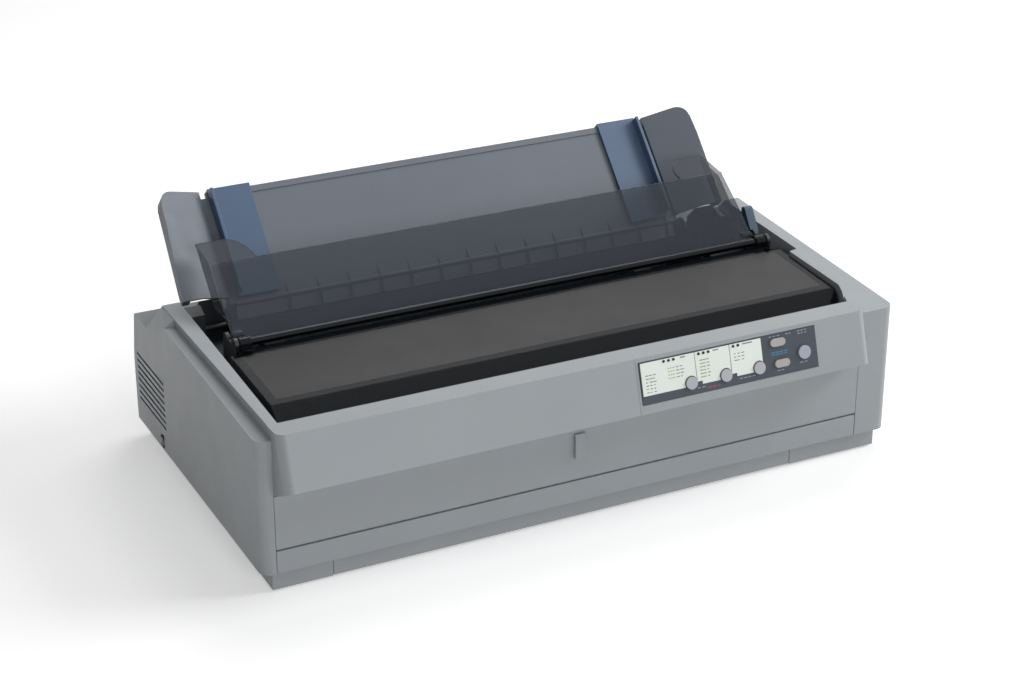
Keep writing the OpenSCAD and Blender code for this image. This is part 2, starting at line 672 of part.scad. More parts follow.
module rear_cover() color(smoke) in_frame() difference() {
    web_in = rear_half - 2;
    under = [-rear_up[1], rear_up[0]] * -cover_t;
    union() {
        slab(-rear_half, rear_half, [rear_cover_foot, rear_cover_foot + under, rear_top + under, rear_top]);
        bar_x(-rear_half, rear_half, rear_top + under / 2, cover_t + 1.2);
        both_sides() {
            slab(web_in - cover_t, web_in, [rear_cover_foot + rear_up * 6,
                rear_cover_foot + [0.74, 0.126] * rear_cover_l, ear_end - [0.44, 0.46] * ear_l,
                ear_end + [-cover_t, -cover_t], ear_end, rear_top]);
            difference() {
                slab(web_in - ear_w, web_in, [rear_top + 1.3 * under, ear_end + [0, -cover_t], ear_end, rear_top]);
                linear_extrude(600) translate([web_in - ear_w, ear_curve_y]) polygon(concat(
                    [[ear_round, ear_end[0] - ear_curve_y + 1], [-1, ear_end[0] - ear_curve_y + 1], [-1, 0]],
                    [for (a = [0:9:90]) [ear_round * (1 - cos(a)), (ear_end[0] - ear_curve_y) * sin(a)]]));
            }
            bar_x(web_in - 8, rear_half, rear_cover_pivot, rear_pin_d + 4);
            slab(web_in - 8, rear_half, [rear_cover_foot, rear_cover_pivot + [-2.5, 0], rear_cover_pivot + [4, 0],
                rear_cover_foot + [7, 3.6]]);
            bar_x(rear_half - 1, bracket_x + cheek_t, rear_cover_pivot, rear_pin_d);
        }
    }
    both_sides() translate([rear_half + 1.5, 0, rear_cover_foot[1]]) rotate([0, -4, 0])
        translate([0, 0, 6]) cube([9, 2 * case_d, 90]);
}

// Frame of the sheet guide's panel: x along it, z up it, y behind it
module on_guide() translate([0, guide_foot[0], guide_foot[1]]) rotate([-guide_lean, 0, 0]) children();
guide_t = 2.4;
foot_bead_d = 5;
guide_half = frame_x - 9;
wing_in = guide_half;
wing_end = wing_in + wing_w;

// One wing, a wedge that widens to the outside, open behind and below
wing_foot = 5.6;
wing_top = guide_l + 1;
wing_step = 3;
wing_flare = 5;
wing_corner_r = 12;
wing_setback = 9.5;
module in_front_of_wing(behind) translate([0, wing_setback - wing_out + behind, 0])
    rotate([atan(wing_setback / wing_top) + 0.7, 0, 0]) translate([0, -100, -50]) cube([2 * half_w, 100, 300]);
module wing() {
    slope = (wing_out - wing_step) / (wing_w + 7);
    x0 = wing_in - 1;
    x1 = wing_in + 3;
    x2 = wing_end - guide_t;
    x3 = wing_end + 6;
    skin = guide_t * 1.1;
    tall = wing_top - wing_foot;
    difference() {
        translate([0, 0, wing_foot]) linear_extrude(tall)
            polygon([[x0, guide_t], [x0, -wing_step], [x3, -wing_out], [x3, -wing_out + 19]]);
        difference() {
            translate([0, 0, wing_foot - 1]) linear_extrude(tall + 1 - guide_t)
                polygon([[x1, 30], [x1, skin - wing_step - slope * 4],
                    [x2, skin - wing_step - slope * (x2 - x0)], [x2, 30]]);
            in_front_of_wing(skin);
        }
        translate([wing_end, 0, wing_top]) rotate([0, -atan(wing_flare / tall), 0])
            translate([0, -100, -200]) cube([30, 200, 300]);
        in_front_of_wing(0);
        translate([wing_end - wing_corner_r, 50, wing_top - wing_corner_r]) rotate([90, 0, 0])
            linear_extrude(100) difference() {
                square(wing_corner_r + 2);
                circle(wing_corner_r);
            }
    }
}

module sheet_guide() color(guide_grey) in_frame() {
    lip = 6;
    first_rib = 56.3 - guide_half;
    last_rib = guide_half - 12.3;
    rib_pitch = (last_rib - first_rib) / (ribs - 1);
    flange = [[0, 0], [-5, -14], [-5 + guide_t, -14.5], [guide_t, -guide_t], [guide_t, 0]];
    on_guide() {
        block([-wing_in, 0, 0], [wing_in, guide_t, guide_l - 5]);
        block([7 - wing_in, 0, guide_l - 6], [wing_in - 7, guide_t, guide_l]);
        block([7 - wing_in, -0.8, guide_l - lip], [wing_in - 7, guide_t / 2, guide_l]);
        both_sides() wing();
    }
    slab(-guide_half + 5, guide_half - 5, [for (p = flange) guide_foot + p]);
    bar_x(-guide_half + 5, guide_half - 5, guide_foot + [0.9, -0.8], foot_bead_d);
    for (i = [0:ribs - 1]) slab(first_rib + i * rib_pitch - 0.6, first_rib + i * rib_pitch + 0.6,
        [guide_foot + [11, 11], guide_foot + [-1, 1.5], guide_foot + [-6.5, -13.5], guide_foot + [-4, -13.5],
            guide_foot + [1, -1]]);
    both_sides() {
        slab(guide_half - 5, guide_half, [guide_foot + [1, -1], guide_pivot + [-5.5, 0], guide_pivot + [5.5, 0],
            guide_foot + [8, 6.5]]);
        bar_x(guide_half - 5, guide_half, guide_pivot, guide_pin_d + 5);
        bar_x(guide_half - 2, frame_x + sheet_t / 2, guide_pivot, guide_pin_d);
    }
}

// Sliding edge guide: plate, fence on its outer side, hook over the top edge of the panel
module edge_guide(side) color(guide_blue) in_frame() on_guide() {
    inner = half_w - 83 - edge_guide_w;
    outer = half_w - 83;
    low = 5;
    top = guide_l + 2.6;
    gap = 1.3;
    mirror([side < 0 ? 1 : 0, 0, 0]) {
        block([inner, -gap - 2, low], [outer, -gap, top]);
        block([outer - 3, -fence_h, low + 4], [outer, -gap, top - 3]);
        block([inner, -gap - 2, top - 2], [outer, guide_t + 2.6, top]);
        block([inner, guide_t + 0.6, top - 14], [outer, guide_t + 2.6, top]);
    }
}
module edge_guide_left() edge_guide(-1);
module edge_guide_right() edge_guide(1);

// Paper release lever on its stud outside the right side frame
lever_x = half_w - 33.2;
lever_pivot = [platen_y - 31, shelf_z - 3.5];
lever_lean = 33.4;
lever_l = 66;
module paper_release_lever() color(guide_blue) in_frame() difference() {
    union() {
        bar_x(lever_x - lever_w / 2, lever_x + lever_w / 2, lever_pivot, lever_stud_d + 8);
        translate([0, lever_pivot[0], lever_pivot[1]]) rotate([-lever_lean, 0, 0])
            block([lever_x - lever_w / 2, -3.5, 0], [lever_x + lever_w / 2, 3.5, lever_l]);
        translate([0, lever_pivot[0], lever_pivot[1]]) rotate([-lever_lean, 0, 0])
            bar_x(lever_x - lever_w / 2, lever_x + lever_w / 2, [0, lever_l], 7);
    }
    bar_x(lever_x - lever_w, lever_x + lever_w, lever_pivot, lever_stud_d + 2 * fit);
}

// Places of the shafts in the side frames
platen_c = [platen_y, platen_z];
rod_c = [platen_y - 55, platen_z - 30];
tractor_c = [platen_y + 57, platen_z - 18];
tractor_bar_c = tractor_c + [17, -8];
teeth = [40, 30, 12, 24];
function pitch_r(i) = gear_m * teeth[i] / 2;
// Centre of a wheel at distance ra from a and rb from b, below the line between them
function below_line(a, ra, b, rb) = let(d = norm(b - a), u = (b - a) / d,
    t = (ra * ra - rb * rb + d * d) / (2 * d), h = sqrt(ra * ra - t * t)) a + u * t + [u[1], -u[0]] * h;
idler_c = below_line(platen_c, pitch_r(0) + pitch_r(1), tractor_c, pitch_r(3) + pitch_r(1));
pinion_c = idler_c - [0, pitch_r(1) + pitch_r(2)];

module side_frame() {
    x0 = frame_x - sheet_t / 2;
    x1 = frame_x + sheet_t / 2;
    difference() {
        union() {
            slab(x0, x1, [[frame_front_y, flange_z], [frame_rear_y, flange_z], [frame_rear_y, platen_z],
                [guide_pivot[0] + 7, guide_pivot[1] - 12],
                [guide_pivot[0] + 7, guide_pivot[1]], [guide_pivot[0] - 32, guide_pivot[1] + 4],
                [guide_pivot[0] - 32, shelf_z - 2], [frame_front_y + 38, shelf_z - 2], [frame_front_y, shelf_z - 22]]);
            bar_x(x0, x1, guide_pivot, guide_pin_d + 9);
            block([x0, frame_front_y, flange_z], [frame_x + 15, frame_rear_y, flange_z + sheet_t]);
            for (y = [frame_front_y + 39, guide_pivot[0] - 31])
                block([x0, y, shelf_z - sheet_t], [shelf_inner_x + 6, y + 18, shelf_z]);
        }
        bar_x(x0 - 1, x1 + 1, platen_c, shaft_d + 2 * fit);
        bar_x(x0 - 1, x1 + 1, rod_c, guide_rod_d + 2 * fit);
        bar_x(x0 - 1, x1 + 1, tractor_c, square_shaft + 2 * fit);
        bar_x(x0 - 1, x1 + 1, tractor_bar_c, tractor_bar_d + 2 * fit);
        bar_x(x0 - 1, x1 + 1, guide_pivot, guide_pin_d + 2 * fit);
        for (p = screw_places) translate([abs(p[0]), p[1], 0]) cylinder(h = 60, d = screw_d + 2 * fit);
    }
}
idler_stud_d = 5;
gear_w = 7;
gear_x = frame_x + sheet_t / 2 + 2;

module side_frame_left() color(steel) in_frame() mirror([1, 0, 0]) {
    difference() {
        side_frame();
        bar_x(0, half_w, pinion_c, 16);
    }
    bar_x(frame_x, gear_x + gear_w + 1, idler_c, idler_stud_d);
    bar_x(frame_x, frame_x + 22, guide_pivot + [-25, 3 - 4], 5);
}

belt_y = platen_y - 27;
belt_z = platen_z - 43;
pulley_x = frame_x - 19;
pulley_stud_d = 4;
module side_frame_right() color(steel) in_frame() {
    side_frame();
    bar_x(frame_x, lever_x + lever_w / 2 + 1, lever_pivot, lever_stud_d);
    block([pulley_x - 9, belt_y - 9, belt_z - 9], [frame_x, belt_y + 9, belt_z - 7]);
    translate([pulley_x, belt_y, belt_z - 8]) cylinder(h = belt_w + 11, d = pulley_stud_d);
}

rail_z = rod_c[1] + 8;
rail_y = frame_front_y + 4;
rail_d = 14;
module frame_tie_bar() color(steel) in_frame() {
    x = frame_x - sheet_t / 2;
    block([-x, rail_y, rail_z], [x, rail_y + rail_d, rail_z + sheet_t]);
    block([-x, rail_y, rail_z - 20], [x, rail_y + sheet_t, rail_z + sheet_t]);
}

module frame_screws() color(steel) in_frame() for (p = screw_places) translate([p[0], p[1], 0]) {
    translate([0, 0, 8]) cylinder(h = flange_z, d = screw_d);
    translate([0, 0, flange_z + sheet_t]) difference() {
        cylinder(h = 6, d = 7);
        translate([-0.6, -4, 5]) cube([1.2, 8, 2]);
    }
}

// Platen with its shaft, knob and gear
module platen() color(black_plastic) in_frame() difference() {
    bar_x(-platen_half, platen_half, platen_c, platen_d);
    bar_x(-half_w, half_w, platen_c, shaft_d);
}
knob_x0 = half_w + 0.5;
module platen_shaft() color(steel) in_frame()
    bar_x(-gear_x - gear_w, knob_x0 + knob_l - 3, platen_c, shaft_d);

module platen_knob() color(case_grey) in_frame() difference() {
    bar_x(knob_x0, knob_x0 + knob_l, platen_c, knob_d);
    bar_x(knob_x0 - 1, knob_x0 + knob_l - 3, platen_c, shaft_d);
    grooves = 24;
    for (i = [0:grooves - 1]) translate([0, platen_c[0], platen_c[1]]) rotate([i * 360 / grooves, 0, 0])
        bar_x(knob_x0 + 6, knob_x0 + knob_l + 1, [knob_d / 2 + 0.6, 0], 3);
}

// Spur gear in the y-z plane: n teeth, first tooth at the angle phase
pressure = 20;
backlash = 0.24;
function roll(rb, r) = sqrt(max(0, r * r / (rb * rb) - 1));
function inv_angle(rb, r) = roll(rb, r) * 180 / PI - atan(roll(rb, r));
function flank(n, side) = let(rp = gear_m * n / 2, rb = rp * cos(pressure), lo = max(rb, rp - gear_m),
    half = 90 / n - backlash / 2 / rp * 180 / PI + inv_angle(rb, rp))
    [for (i = [0:3]) let(r = lo + (rp + gear_m - lo) * i / 3) [r, side * (half - inv_angle(rb, r))]];
function tooth(n) = let(root = gear_m * n / 2 - 1.25 * gear_m, a = flank(n, -1), b = flank(n, 1))
    concat([[root, a[0][1]]], a, [b[3], b[2], b[1], b[0]], [[root, b[0][1]]]);
function gear_outline(n, phase) = [for (k = [0:n - 1], p = tooth(n)) let(t = phase + k * 360 / n + p[1])
    [p[0] * cos(t), p[0] * sin(t)]];
module gear(i, centre, phase, bore, x0, x1) difference() {
    across(x0, x1) translate(centre) polygon(gear_outline(teeth[i], phase));
    bar_x(x0 - 1, x1 + 1, centre, bore);
}
function direction(a, b) = atan2(b[1] - a[1], b[0] - a[0]);
// Phase of wheel 2 so that its teeth fall in the gaps of wheel 1
function meshed(phase, n1, n2, way) = way + 180 + (180 - (phase - way) * n1) / n2;
idler_phase = meshed(0, teeth[0], teeth[1], direction(platen_c, idler_c));
pinion_phase = meshed(idler_phase, teeth[1], teeth[2], direction(idler_c, pinion_c));
tractor_phase = meshed(idler_phase, teeth[1], teeth[3], direction(idler_c, tractor_c));

module platen_gear() color(gear_white) in_frame()
    gear(0, platen_c, 0, shaft_d, -gear_x - gear_w, -gear_x);
module idler_gear() color(gear_white) in_frame()
    gear(1, idler_c, idler_phase, idler_stud_d + 2 * fit, -gear_x - gear_w + 0.5, -gear_x - 0.5);
module feed_pinion() color(steel) in_frame()
    gear(2, pinion_c, pinion_phase, motor_shaft_d + 2 * fit, -gear_x - gear_w, -gear_x);

feed_motor_l = 24;
motor_shaft_d = 4;
module feed_motor() color(panel_grey) in_frame() {
    size = 36;
    x1 = -frame_x + sheet_t / 2;
    block([x1, pinion_c[0] - size / 2, pinion_c[1] - size / 2],
        [x1 + feed_motor_l, pinion_c[0] + size / 2, pinion_c[1] + size / 2]);
    bar_x(-frame_x - sheet_t / 2, x1 + 1, pinion_c, 12);
    bar_x(-gear_x - gear_w - 0.5, x1, pinion_c, motor_shaft_d);
}

// Carriage with the print head
module guide_rod() color(steel) in_frame() bar_x(-frame_x - 6, frame_x + 6, rod_c, guide_rod_d);

module carriage() color(black_plastic) in_frame() difference() {
    union() {
        block([-carriage_w / 2, rod_c[0] - 14, rod_c[1] - 12], [carriage_w / 2, rod_c[0] + 16, rod_c[1] + 15]);
        block([-carriage_w / 2, rail_y + sheet_t, rail_z + sheet_t + 0.4], [carriage_w / 2, rod_c[0], rod_c[1] + 15]);
        block([-8, rod_c[0] + 15, belt_z - 3], [8, belt_y - pulley_d / 2 - belt_t - 0.4, belt_z + belt_w + 3]);
    }
    bar_x(-half_w, half_w, rod_c, guide_rod_d + 2 * fit);
}

head_nose_y = platen_y - platen_d / 2 - 1.6;
module print_head() color(black_plastic) in_frame() {
    fins = 5;
    low = rod_c[1] + 15;
    back = head_nose_y - 57.4;
    block([-13, back, low], [13, head_nose_y - 12, low + 24]);
    for (i = [0:fins - 1]) block([-19, back + 2 + i * 7, low + 2], [19, back + 5 + i * 7, low + 26]);
    slab(-9, 9, [[head_nose_y - 13, low + 4], [head_nose_y, platen_z - 5], [head_nose_y, platen_z + 5],
        [head_nose_y - 13, low + 24]]);
}

// Ribbon cartridge with its arms, knob and ribbon
cartridge_top = shelf_z + 2.5;
cartridge_y = [bay_d + 4 * wall + 6, platen_y - 98];
ribbon_knob_c = [-(half_w - 125), (cartridge_y[0] + cartridge_y[1]) / 2 + 3.5];
arm_x = platen_half - 12;
module ribbon_cartridge() color(black_plastic) in_frame() difference() {
    union() {
        block([-arm_x - 4, cartridge_y[0], cartridge_top - 18], [arm_x + 4, cartridge_y[1], cartridge_top]);
        both_sides() block([arm_x - 5, cartridge_y[1] - 1, platen_z - 7], [arm_x + 4, platen_y - 21, platen_z + 8]);
        translate([ribbon_knob_c[0], ribbon_knob_c[1], cartridge_top - 2]) cylinder(h = 5, d = 6);
    }
    both_sides() block([arm_x - 6, ribbon_y - 6.4, platen_z - 8], [arm_x - 1.5, platen_y, platen_z + 9]);
}
ribbon_y = platen_y - platen_d / 2 - 1.1;
module ribbon_knob() color(guide_blue) in_frame() translate([ribbon_knob_c[0], ribbon_knob_c[1], cartridge_top + 0.5])
    difference() {
        cylinder(h = 9, d = 18);
        translate([0, 0, -1]) cylinder(h = 6, d = 6 + 2 * fit);
        for (i = [0:11]) rotate([0, 0, i * 30]) translate([9.4, 0, -1]) cylinder(h = 11, d = 3);
    }
module ribbon() color([0.05, 0.05, 0.06]) in_frame()
    block([-arm_x - 3, ribbon_y - 0.1, platen_z - 6], [arm_x + 3, ribbon_y + 0.1, platen_z + 6]);

// Belt drive of the carriage
module belt_plan(r) {
    for (s = [-1, 1]) translate([s * pulley_x, belt_y]) circle(r);
    translate([-pulley_x, belt_y - r]) square([2 * pulley_x, 2 * r]);
}
module timing_belt() color(black_plastic) in_frame() translate([0, 0, belt_z]) linear_extrude(belt_w) difference() {
    belt_plan(pulley_d / 2 + 0.1 + belt_t);
    belt_plan(pulley_d / 2 + 0.1);
}
module carriage_motor() color(panel_grey) in_frame() {
    translate([-pulley_x, belt_y, flange_z + 2]) cylinder(h = belt_z - 4 - flange_z - 2, d = 30);
    translate([-pulley_x, belt_y, belt_z - 5]) cylinder(h = belt_w + 9, d = pulley_stud_d);
    block([-frame_x + sheet_t / 2, belt_y - 8, flange_z + 8], [-pulley_x, belt_y + 8, flange_z + 12]);
}
module pulley(side) color(steel) in_frame() translate([side * pulley_x, belt_y, belt_z]) difference() {
    union() {
        translate([0, 0, -0.5]) cylinder(h = belt_w + 1, d = pulley_d);
        for (z = [-1.6, belt_w + 0.4]) translate([0, 0, z]) cylinder(h = 1.2, d = pulley_d + 5);
    }
    translate([0, 0, -2]) cylinder(h = belt_w + 4, d = pulley_stud_d + 2 * fit);
}
module motor_pulley() pulley(-1);
module idler_pulley() pulley(1);

// Tractors on a square shaft and a round bar
module tractor_shaft() color(steel) in_frame() {
    x = frame_x - sheet_t / 2 - 0.5;
    side = square_shaft * 0.7;
    across(-x, x) translate(tractor_c) square(square_shaft * 0.98, center = true);
    bar_x(-gear_x - gear_w, frame_x + 4, tractor_c, side);
    both_sides() bar_x(frame_x - 2, frame_x + 1, tractor_c, square_shaft);
    gear(3, tractor_c, tractor_phase, 1, -gear_x - gear_w, -gear_x);
    bar_x(-gear_x, -frame_x, tractor_c, square_shaft);
}
module tractor_bar() color(steel) in_frame() bar_x(-frame_x - 4, frame_x + 4, tractor_bar_c, tractor_bar_d);

hub_d = 12;
plate_t = 4;
cover_pin_d = 2.4;
cover_hinge_z = tractor_c[1] + sprocket_d / 2 + 3.5;
// Frame of one tractor: x from its middle outwards
module at_tractor(side) in_frame() mirror([side < 0 ? 1 : 0, 0, 0]) translate([tractor_x, 0, 0]) children();

module tractor_body(side) color(case_grey) at_tractor(side) difference() {
    union() {
        across(7, 7 + plate_t) translate([tractor_c[0] - 14, tractor_c[1] - 17]) rounded_rect(0, 39, 0, 29, 4);
        bar_x(-8, 8, tractor_bar_c, tractor_bar_d + 4);
        for (y = [tractor_c[0] - 12, tractor_c[0] + 16])
            block([7, y, tractor_c[1] + 10], [12.6, y + 4, cover_hinge_z + 2.2]);
    }
    bar_x(-20, 20, tractor_c, hub_d + 2 * fit);
    bar_x(-20, 20, tractor_bar_c, tractor_bar_d + 2 * fit);
    translate([10.4, tractor_c[0] - 20, cover_hinge_z]) rotate([-90, 0, 0]) cylinder(h = 60, d = cover_pin_d + 2 * fit);
}
module tractor_left() tractor_body(-1);
module tractor_right() tractor_body(1);

module sprocket(side) color(guide_blue) at_tractor(side) difference() {
    pins = 10;
    union() {
        bar_x(-5, 6.4, tractor_c, sprocket_d);
        bar_x(6, 7 + plate_t, tractor_c, hub_d);
        for (i = [0:pins - 1]) translate([0, tractor_c[0], tractor_c[1]]) rotate([i * 360 / pins + 18, 0, 0])
            translate([1, 0, sprocket_d / 2 - 1]) cylinder(h = 3, d = 3);
    }
    across(-20, 20) translate(tractor_c) square(square_shaft + 0.2, center = true);
}
module sprocket_left() sprocket(-1);
module sprocket_right() sprocket(1);

module tractor_cover(side) color(case_grey) at_tractor(side) {
    y0 = tractor_c[0] - 7.6;
    y1 = tractor_c[0] + 15.6;
    block([-8, y0, cover_hinge_z - 0.9], [10.4, y1, cover_hinge_z + 1.1]);
    translate([10.4, y0 - 4, cover_hinge_z]) rotate([-90, 0, 0]) cylinder(h = y1 - y0 + 8, d = cover_pin_d);
}
module tractor_cover_left() tractor_cover(-1);
module tractor_cover_right() tractor_cover(1);

// Boards, plugs and switch
board_z = 10;
board_front_y = 2 * bay_d;
board_rear_y = platen_y - 5;
main_left = -(half_w - 115);
power_left = half_w - 255;
power_w = 150;
main_w = power_left - 30 - main_left;
module board_with_posts(x0, x1) {
    block([x0, board_front_y, board_z], [x1, board_rear_y, board_z + 1.6]);
    for (x = [x0 + 5, x1 - 5], y = [board_front_y + 5, board_rear_y - 5])
        translate([x, y, tray_z + wall]) cylinder(h = board_z - tray_z - wall + 0.5, d = 6);
}
module main_board() color(board_green) in_frame() {
    board_with_posts(main_left, main_left + main_w);
    translate([main_left, board_front_y, board_z + 1]) {
        for (x = [30:50:main_w - 60]) block([x, 30, 0], [x + 24, 54, 4]);
        for (x = [40:30:main_w - 20]) block([x, 80, 0], [x + 8, 100, 3]);
    }
}
module power_board() color(board_green) in_frame() {
    board_with_posts(power_left, power_left + power_w);
    translate([power_left, board_front_y, board_z + 1]) {
        block([20, 30, 0], [60, 65, 33]);
        block([80, 20, 0], [84, 110, 31]);
        for (y = [25:30:85]) translate([power_w - 35, y, 0]) cylinder(h = 26, d = 20);
    }
}
module ac_inlet() color(black_plastic) in_frame() {
    y1 = case_d - 6;
    x0 = inlet_x + seam;
    x1 = inlet_x + inlet_w - seam;
    difference() {
        block([x0, case_d - 34, inlet_z + seam], [x1, y1, inlet_z + inlet_h - seam]);
        block([x0 + 2.5, y1 - 16, inlet_z + 3], [x1 - 2.5, y1 + 1, inlet_z + inlet_h - 3]);
    }
    for (p = [[-7, 8.5], [0, 12.5], [7, 8.5]])
        block([(x0 + x1) / 2 + p[0] - 1, y1 - 17, inlet_z + p[1] - 2], [(x0 + x1) / 2 + p[0] + 1, y1 - 6, inlet_z + p[1] + 2]);
    block([x0 - 5, case_d - 31, inlet_z - 4], [x1 + 5, case_d - 30, inlet_z + inlet_h + 4]);
}
module parallel_connector() color(steel) in_frame() {
    y1 = case_d - 5;
    x0 = port_x + seam;
    x1 = port_x + port_w - seam;
    difference() {
        block([x0, case_d - 32, inlet_z + seam], [x1, y1, inlet_z + port_h - seam]);
        block([x0 + 1.5, y1 - 9, inlet_z + 2], [x1 - 1.5, y1 + 1, inlet_z + port_h - 2]);
    }
    block([x0 + 8, y1 - 10, inlet_z + 5], [x1 - 8, y1 - 2, inlet_z + port_h - 5]);
}
module power_switch() color(black_plastic) in_frame() translate([-half_w + wall + 2, rocker_y, rocker_z]) {
    reach = wall + 2;
    depth = 3;
    rotate([90, 0, 0]) linear_extrude(6.4, center = true)
        polygon([[-reach - 1.2, -rocker_h / 2 + 1], [-reach - 0.2, 0], [-reach - 1.2, rocker_h / 2 - 1],
            [-1, rocker_h / 2 - 0.8], [depth, 2], [depth, -2], [-1, -rocker_h / 2 + 0.8]]);
    rotate([90, 0, 0]) cylinder(h = 12.4, d = rocker_pin_d, center = true);
}

base_tray();
front_skirt();
rubber_feet();
upper_case();
inner_frame();
front_strip();
front_door();
door_latch();
control_panel();
label_cards();
indicator_lamps();
panel_board();
pitch_button();
font_button();
tear_off_button();
load_button();
line_feed_button();
pause_button();
print_cover();
cover_rod();
hinge_brackets();
rear_cover();
sheet_guide();
edge_guide_left();
edge_guide_right();
paper_release_lever();
side_frame_left();
side_frame_right();
frame_tie_bar();
frame_screws();
platen();
platen_shaft();
platen_knob();
platen_gear();
idler_gear();
feed_pinion();
feed_motor();
guide_rod();
carriage();
print_head();
ribbon_cartridge();
ribbon_knob();
ribbon();
timing_belt();
carriage_motor();
motor_pulley();
idler_pulley();
tractor_shaft();
tractor_bar();
tractor_left();
tractor_right();
tractor_cover_left();
tractor_cover_right();
sprocket_left();
sprocket_right();
main_board();
power_board();
ac_inlet();
parallel_connector();
power_switch();
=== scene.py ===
"""Looks of a wide carriage dot matrix printer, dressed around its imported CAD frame.

Laid out as an add-on: sizes and colours are scene properties, each group of pieces has an operator.
All lengths are metres in the frame of the CAD model: x to the right, y to the rear, z up.
"""

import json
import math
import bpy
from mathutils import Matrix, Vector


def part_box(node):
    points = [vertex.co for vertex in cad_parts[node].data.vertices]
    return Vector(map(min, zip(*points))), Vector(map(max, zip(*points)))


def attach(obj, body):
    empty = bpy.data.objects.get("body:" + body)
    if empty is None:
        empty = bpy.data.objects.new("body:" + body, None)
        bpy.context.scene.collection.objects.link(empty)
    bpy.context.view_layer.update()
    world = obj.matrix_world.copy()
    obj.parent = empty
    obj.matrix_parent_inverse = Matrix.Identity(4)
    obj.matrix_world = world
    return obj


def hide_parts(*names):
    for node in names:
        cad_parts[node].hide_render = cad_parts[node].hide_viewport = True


bl_info = {
    "name": "Dot matrix printer looks",
    "version": (1, 0, 0),
    "blender": (4, 5, 0),
    "location": "View3D > Sidebar > Printer",
    "description": "Dresses the CAD model of a wide carriage dot matrix printer",
    "category": "Object",
}

from collections import namedtuple

import bmesh
import bpy
from mathutils import Matrix, Vector

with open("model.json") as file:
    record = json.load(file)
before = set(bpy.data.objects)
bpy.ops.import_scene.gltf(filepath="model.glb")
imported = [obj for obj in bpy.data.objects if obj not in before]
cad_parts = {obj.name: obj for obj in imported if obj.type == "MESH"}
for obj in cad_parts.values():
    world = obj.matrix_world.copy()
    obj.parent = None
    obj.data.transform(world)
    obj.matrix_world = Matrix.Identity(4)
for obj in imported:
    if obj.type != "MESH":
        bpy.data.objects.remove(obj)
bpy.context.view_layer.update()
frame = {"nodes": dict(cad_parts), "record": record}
NODES = frame["nodes"]
BODY_OF = {n: b for b, names in frame["record"]["behaviour"]["bodies"].items() for n in names}
MM = 0.001
MID = 0.165  # the frame's middle lies this far behind the door face

# The brow's face: its foot, its lean, and the left edges of the three cards on it, in mm
BROW_FOOT = (0.0, -0.029 - MID, 0.1055)
BROW_LEAN = math.radians(17.2)
CARD_X = (32.8, 86.0, 120.5)
CARD_FACE = 1.0  # the cards stand this far in front of the brow, in mm
PLATE_FACE = 0.5  # and the plate this far
INK_GAP = 0.02  # the green ink of the second card lies this much above the grey, in mm
BAR_DEPTH = 0.12  # thickness of a printed bar, in mm

# Rows of printed bars, in mm: the place of the upper left bar on the brow, across, up and out of it, how many
# columns and rows and their pitches, the longest bar's length and height, the shortest bar's share of that
# length, and the seed that the lengths are drawn from
Rows = namedtuple("Rows", "left up out columns rows column_pitch row_pitch length height shortest seed")


def list_rows(left, up, rows, seed):
    return Rows(left, up, CARD_FACE, 3, rows, 3.6, 2.9, 3.2, 0.8, 0.35, seed)


def heading(left, length):
    return Rows(left, 42.2, CARD_FACE, 1, 1, 1, 1, length, 1.1, 0.6, 1)


def plate_rows(left, up, columns, rows, length, seed):
    return Rows(left, up, PLATE_FACE, columns, rows, length + 0.8, 2.4, length, 0.9, 0.6, seed)


# Each print: the piece's name, its ink, its slot and its rows
PRINTS = (
    (
        "card_print_grey", "ink", "card", (
            list_rows(CARD_X[0] + 4, 32.5, 6, 3),
            list_rows(CARD_X[1] + 4, 36, 6, 5),
            list_rows(CARD_X[2] + 4, 35, 3, 8),
            Rows(CARD_X[0] + 34, 35, CARD_FACE, 2, 4, 4.0, 2.9, 3.6, 0.8, 0.4, 11),
            heading(CARD_X[0] + 39, 7),
            heading(CARD_X[1] + 18, 8),
            heading(CARD_X[2] + 13, 14),
        ),
    ),
    (
        "card_print_green", "ink_green", "card", (
            Rows(CARD_X[0] + 26, 35, CARD_FACE, 3, 4, 2.4, 2.9, 1.7, 0.9, 0.8, 12),
            Rows(CARD_X[1] + 4, 36, CARD_FACE + INK_GAP, 3, 6, 2.2, 2.9, 1.6, 0.9, 0.8, 13),
        ),
    ),
    (
        "panel_print_light", "ink_light", "card", (
            plate_rows(161, 42.6, 3, 1, 3.2, 2),
            plate_rows(178, 42.6, 2, 1, 2.6, 4),
            plate_rows(190, 43.0, 3, 2, 2.8, 6),
            plate_rows(166, 12.2, 2, 1, 3.4, 7),
            plate_rows(189.5, 15.0, 2, 1, 4.2, 9),
            plate_rows(128, 12.6, 4, 1, 3.4, 10),
            plate_rows(86, 12.6, 2, 1, 3.6, 15),
        ),
    ),
    (
        "panel_print_blue", "ink_blue", "blue_plastic", (
            Rows(162, 28.4, PLATE_FACE, 4, 2, 4.2, 1.9, 3.8, 1.1, 0.7, 14),
        ),
    ),
    (
        "panel_print_red", "ink_red", "card", (
            Rows(96, 11.2, PLATE_FACE, 3, 1, 4.6, 2, 4.2, 1.6, 0.7, 16),
        ),
    ),
)

# Rounding: edges that turn by less than the least angle stay as they are, all angles in degrees
LEAST_TURN = 25
SHARP = 32
ROUND_SEGMENTS = 3
CORNER_SEGMENTS = 6
MERGE = 2e-6
FLAT = 0.6
SHEET_EDGE = 0.3 * MM
INNER_EDGE = 0.4 * MM

# The upright front corners of the lid lie this near its front and its sides, and are this steep
LID_CORNER_DEPTH = 12 * MM
LID_CORNER_WIDTH = 3 * MM
LID_CORNER_SLOPE = 3

# The foot of the sheet guide, painted paler as a highlight, lies between its wings, in a square of this size at its
# lower front
FOOT_SIZE = 7 * MM
FOOT_REACH = 0.231
GUIDE_MIDDLE = 0.1

FINISHES = {}

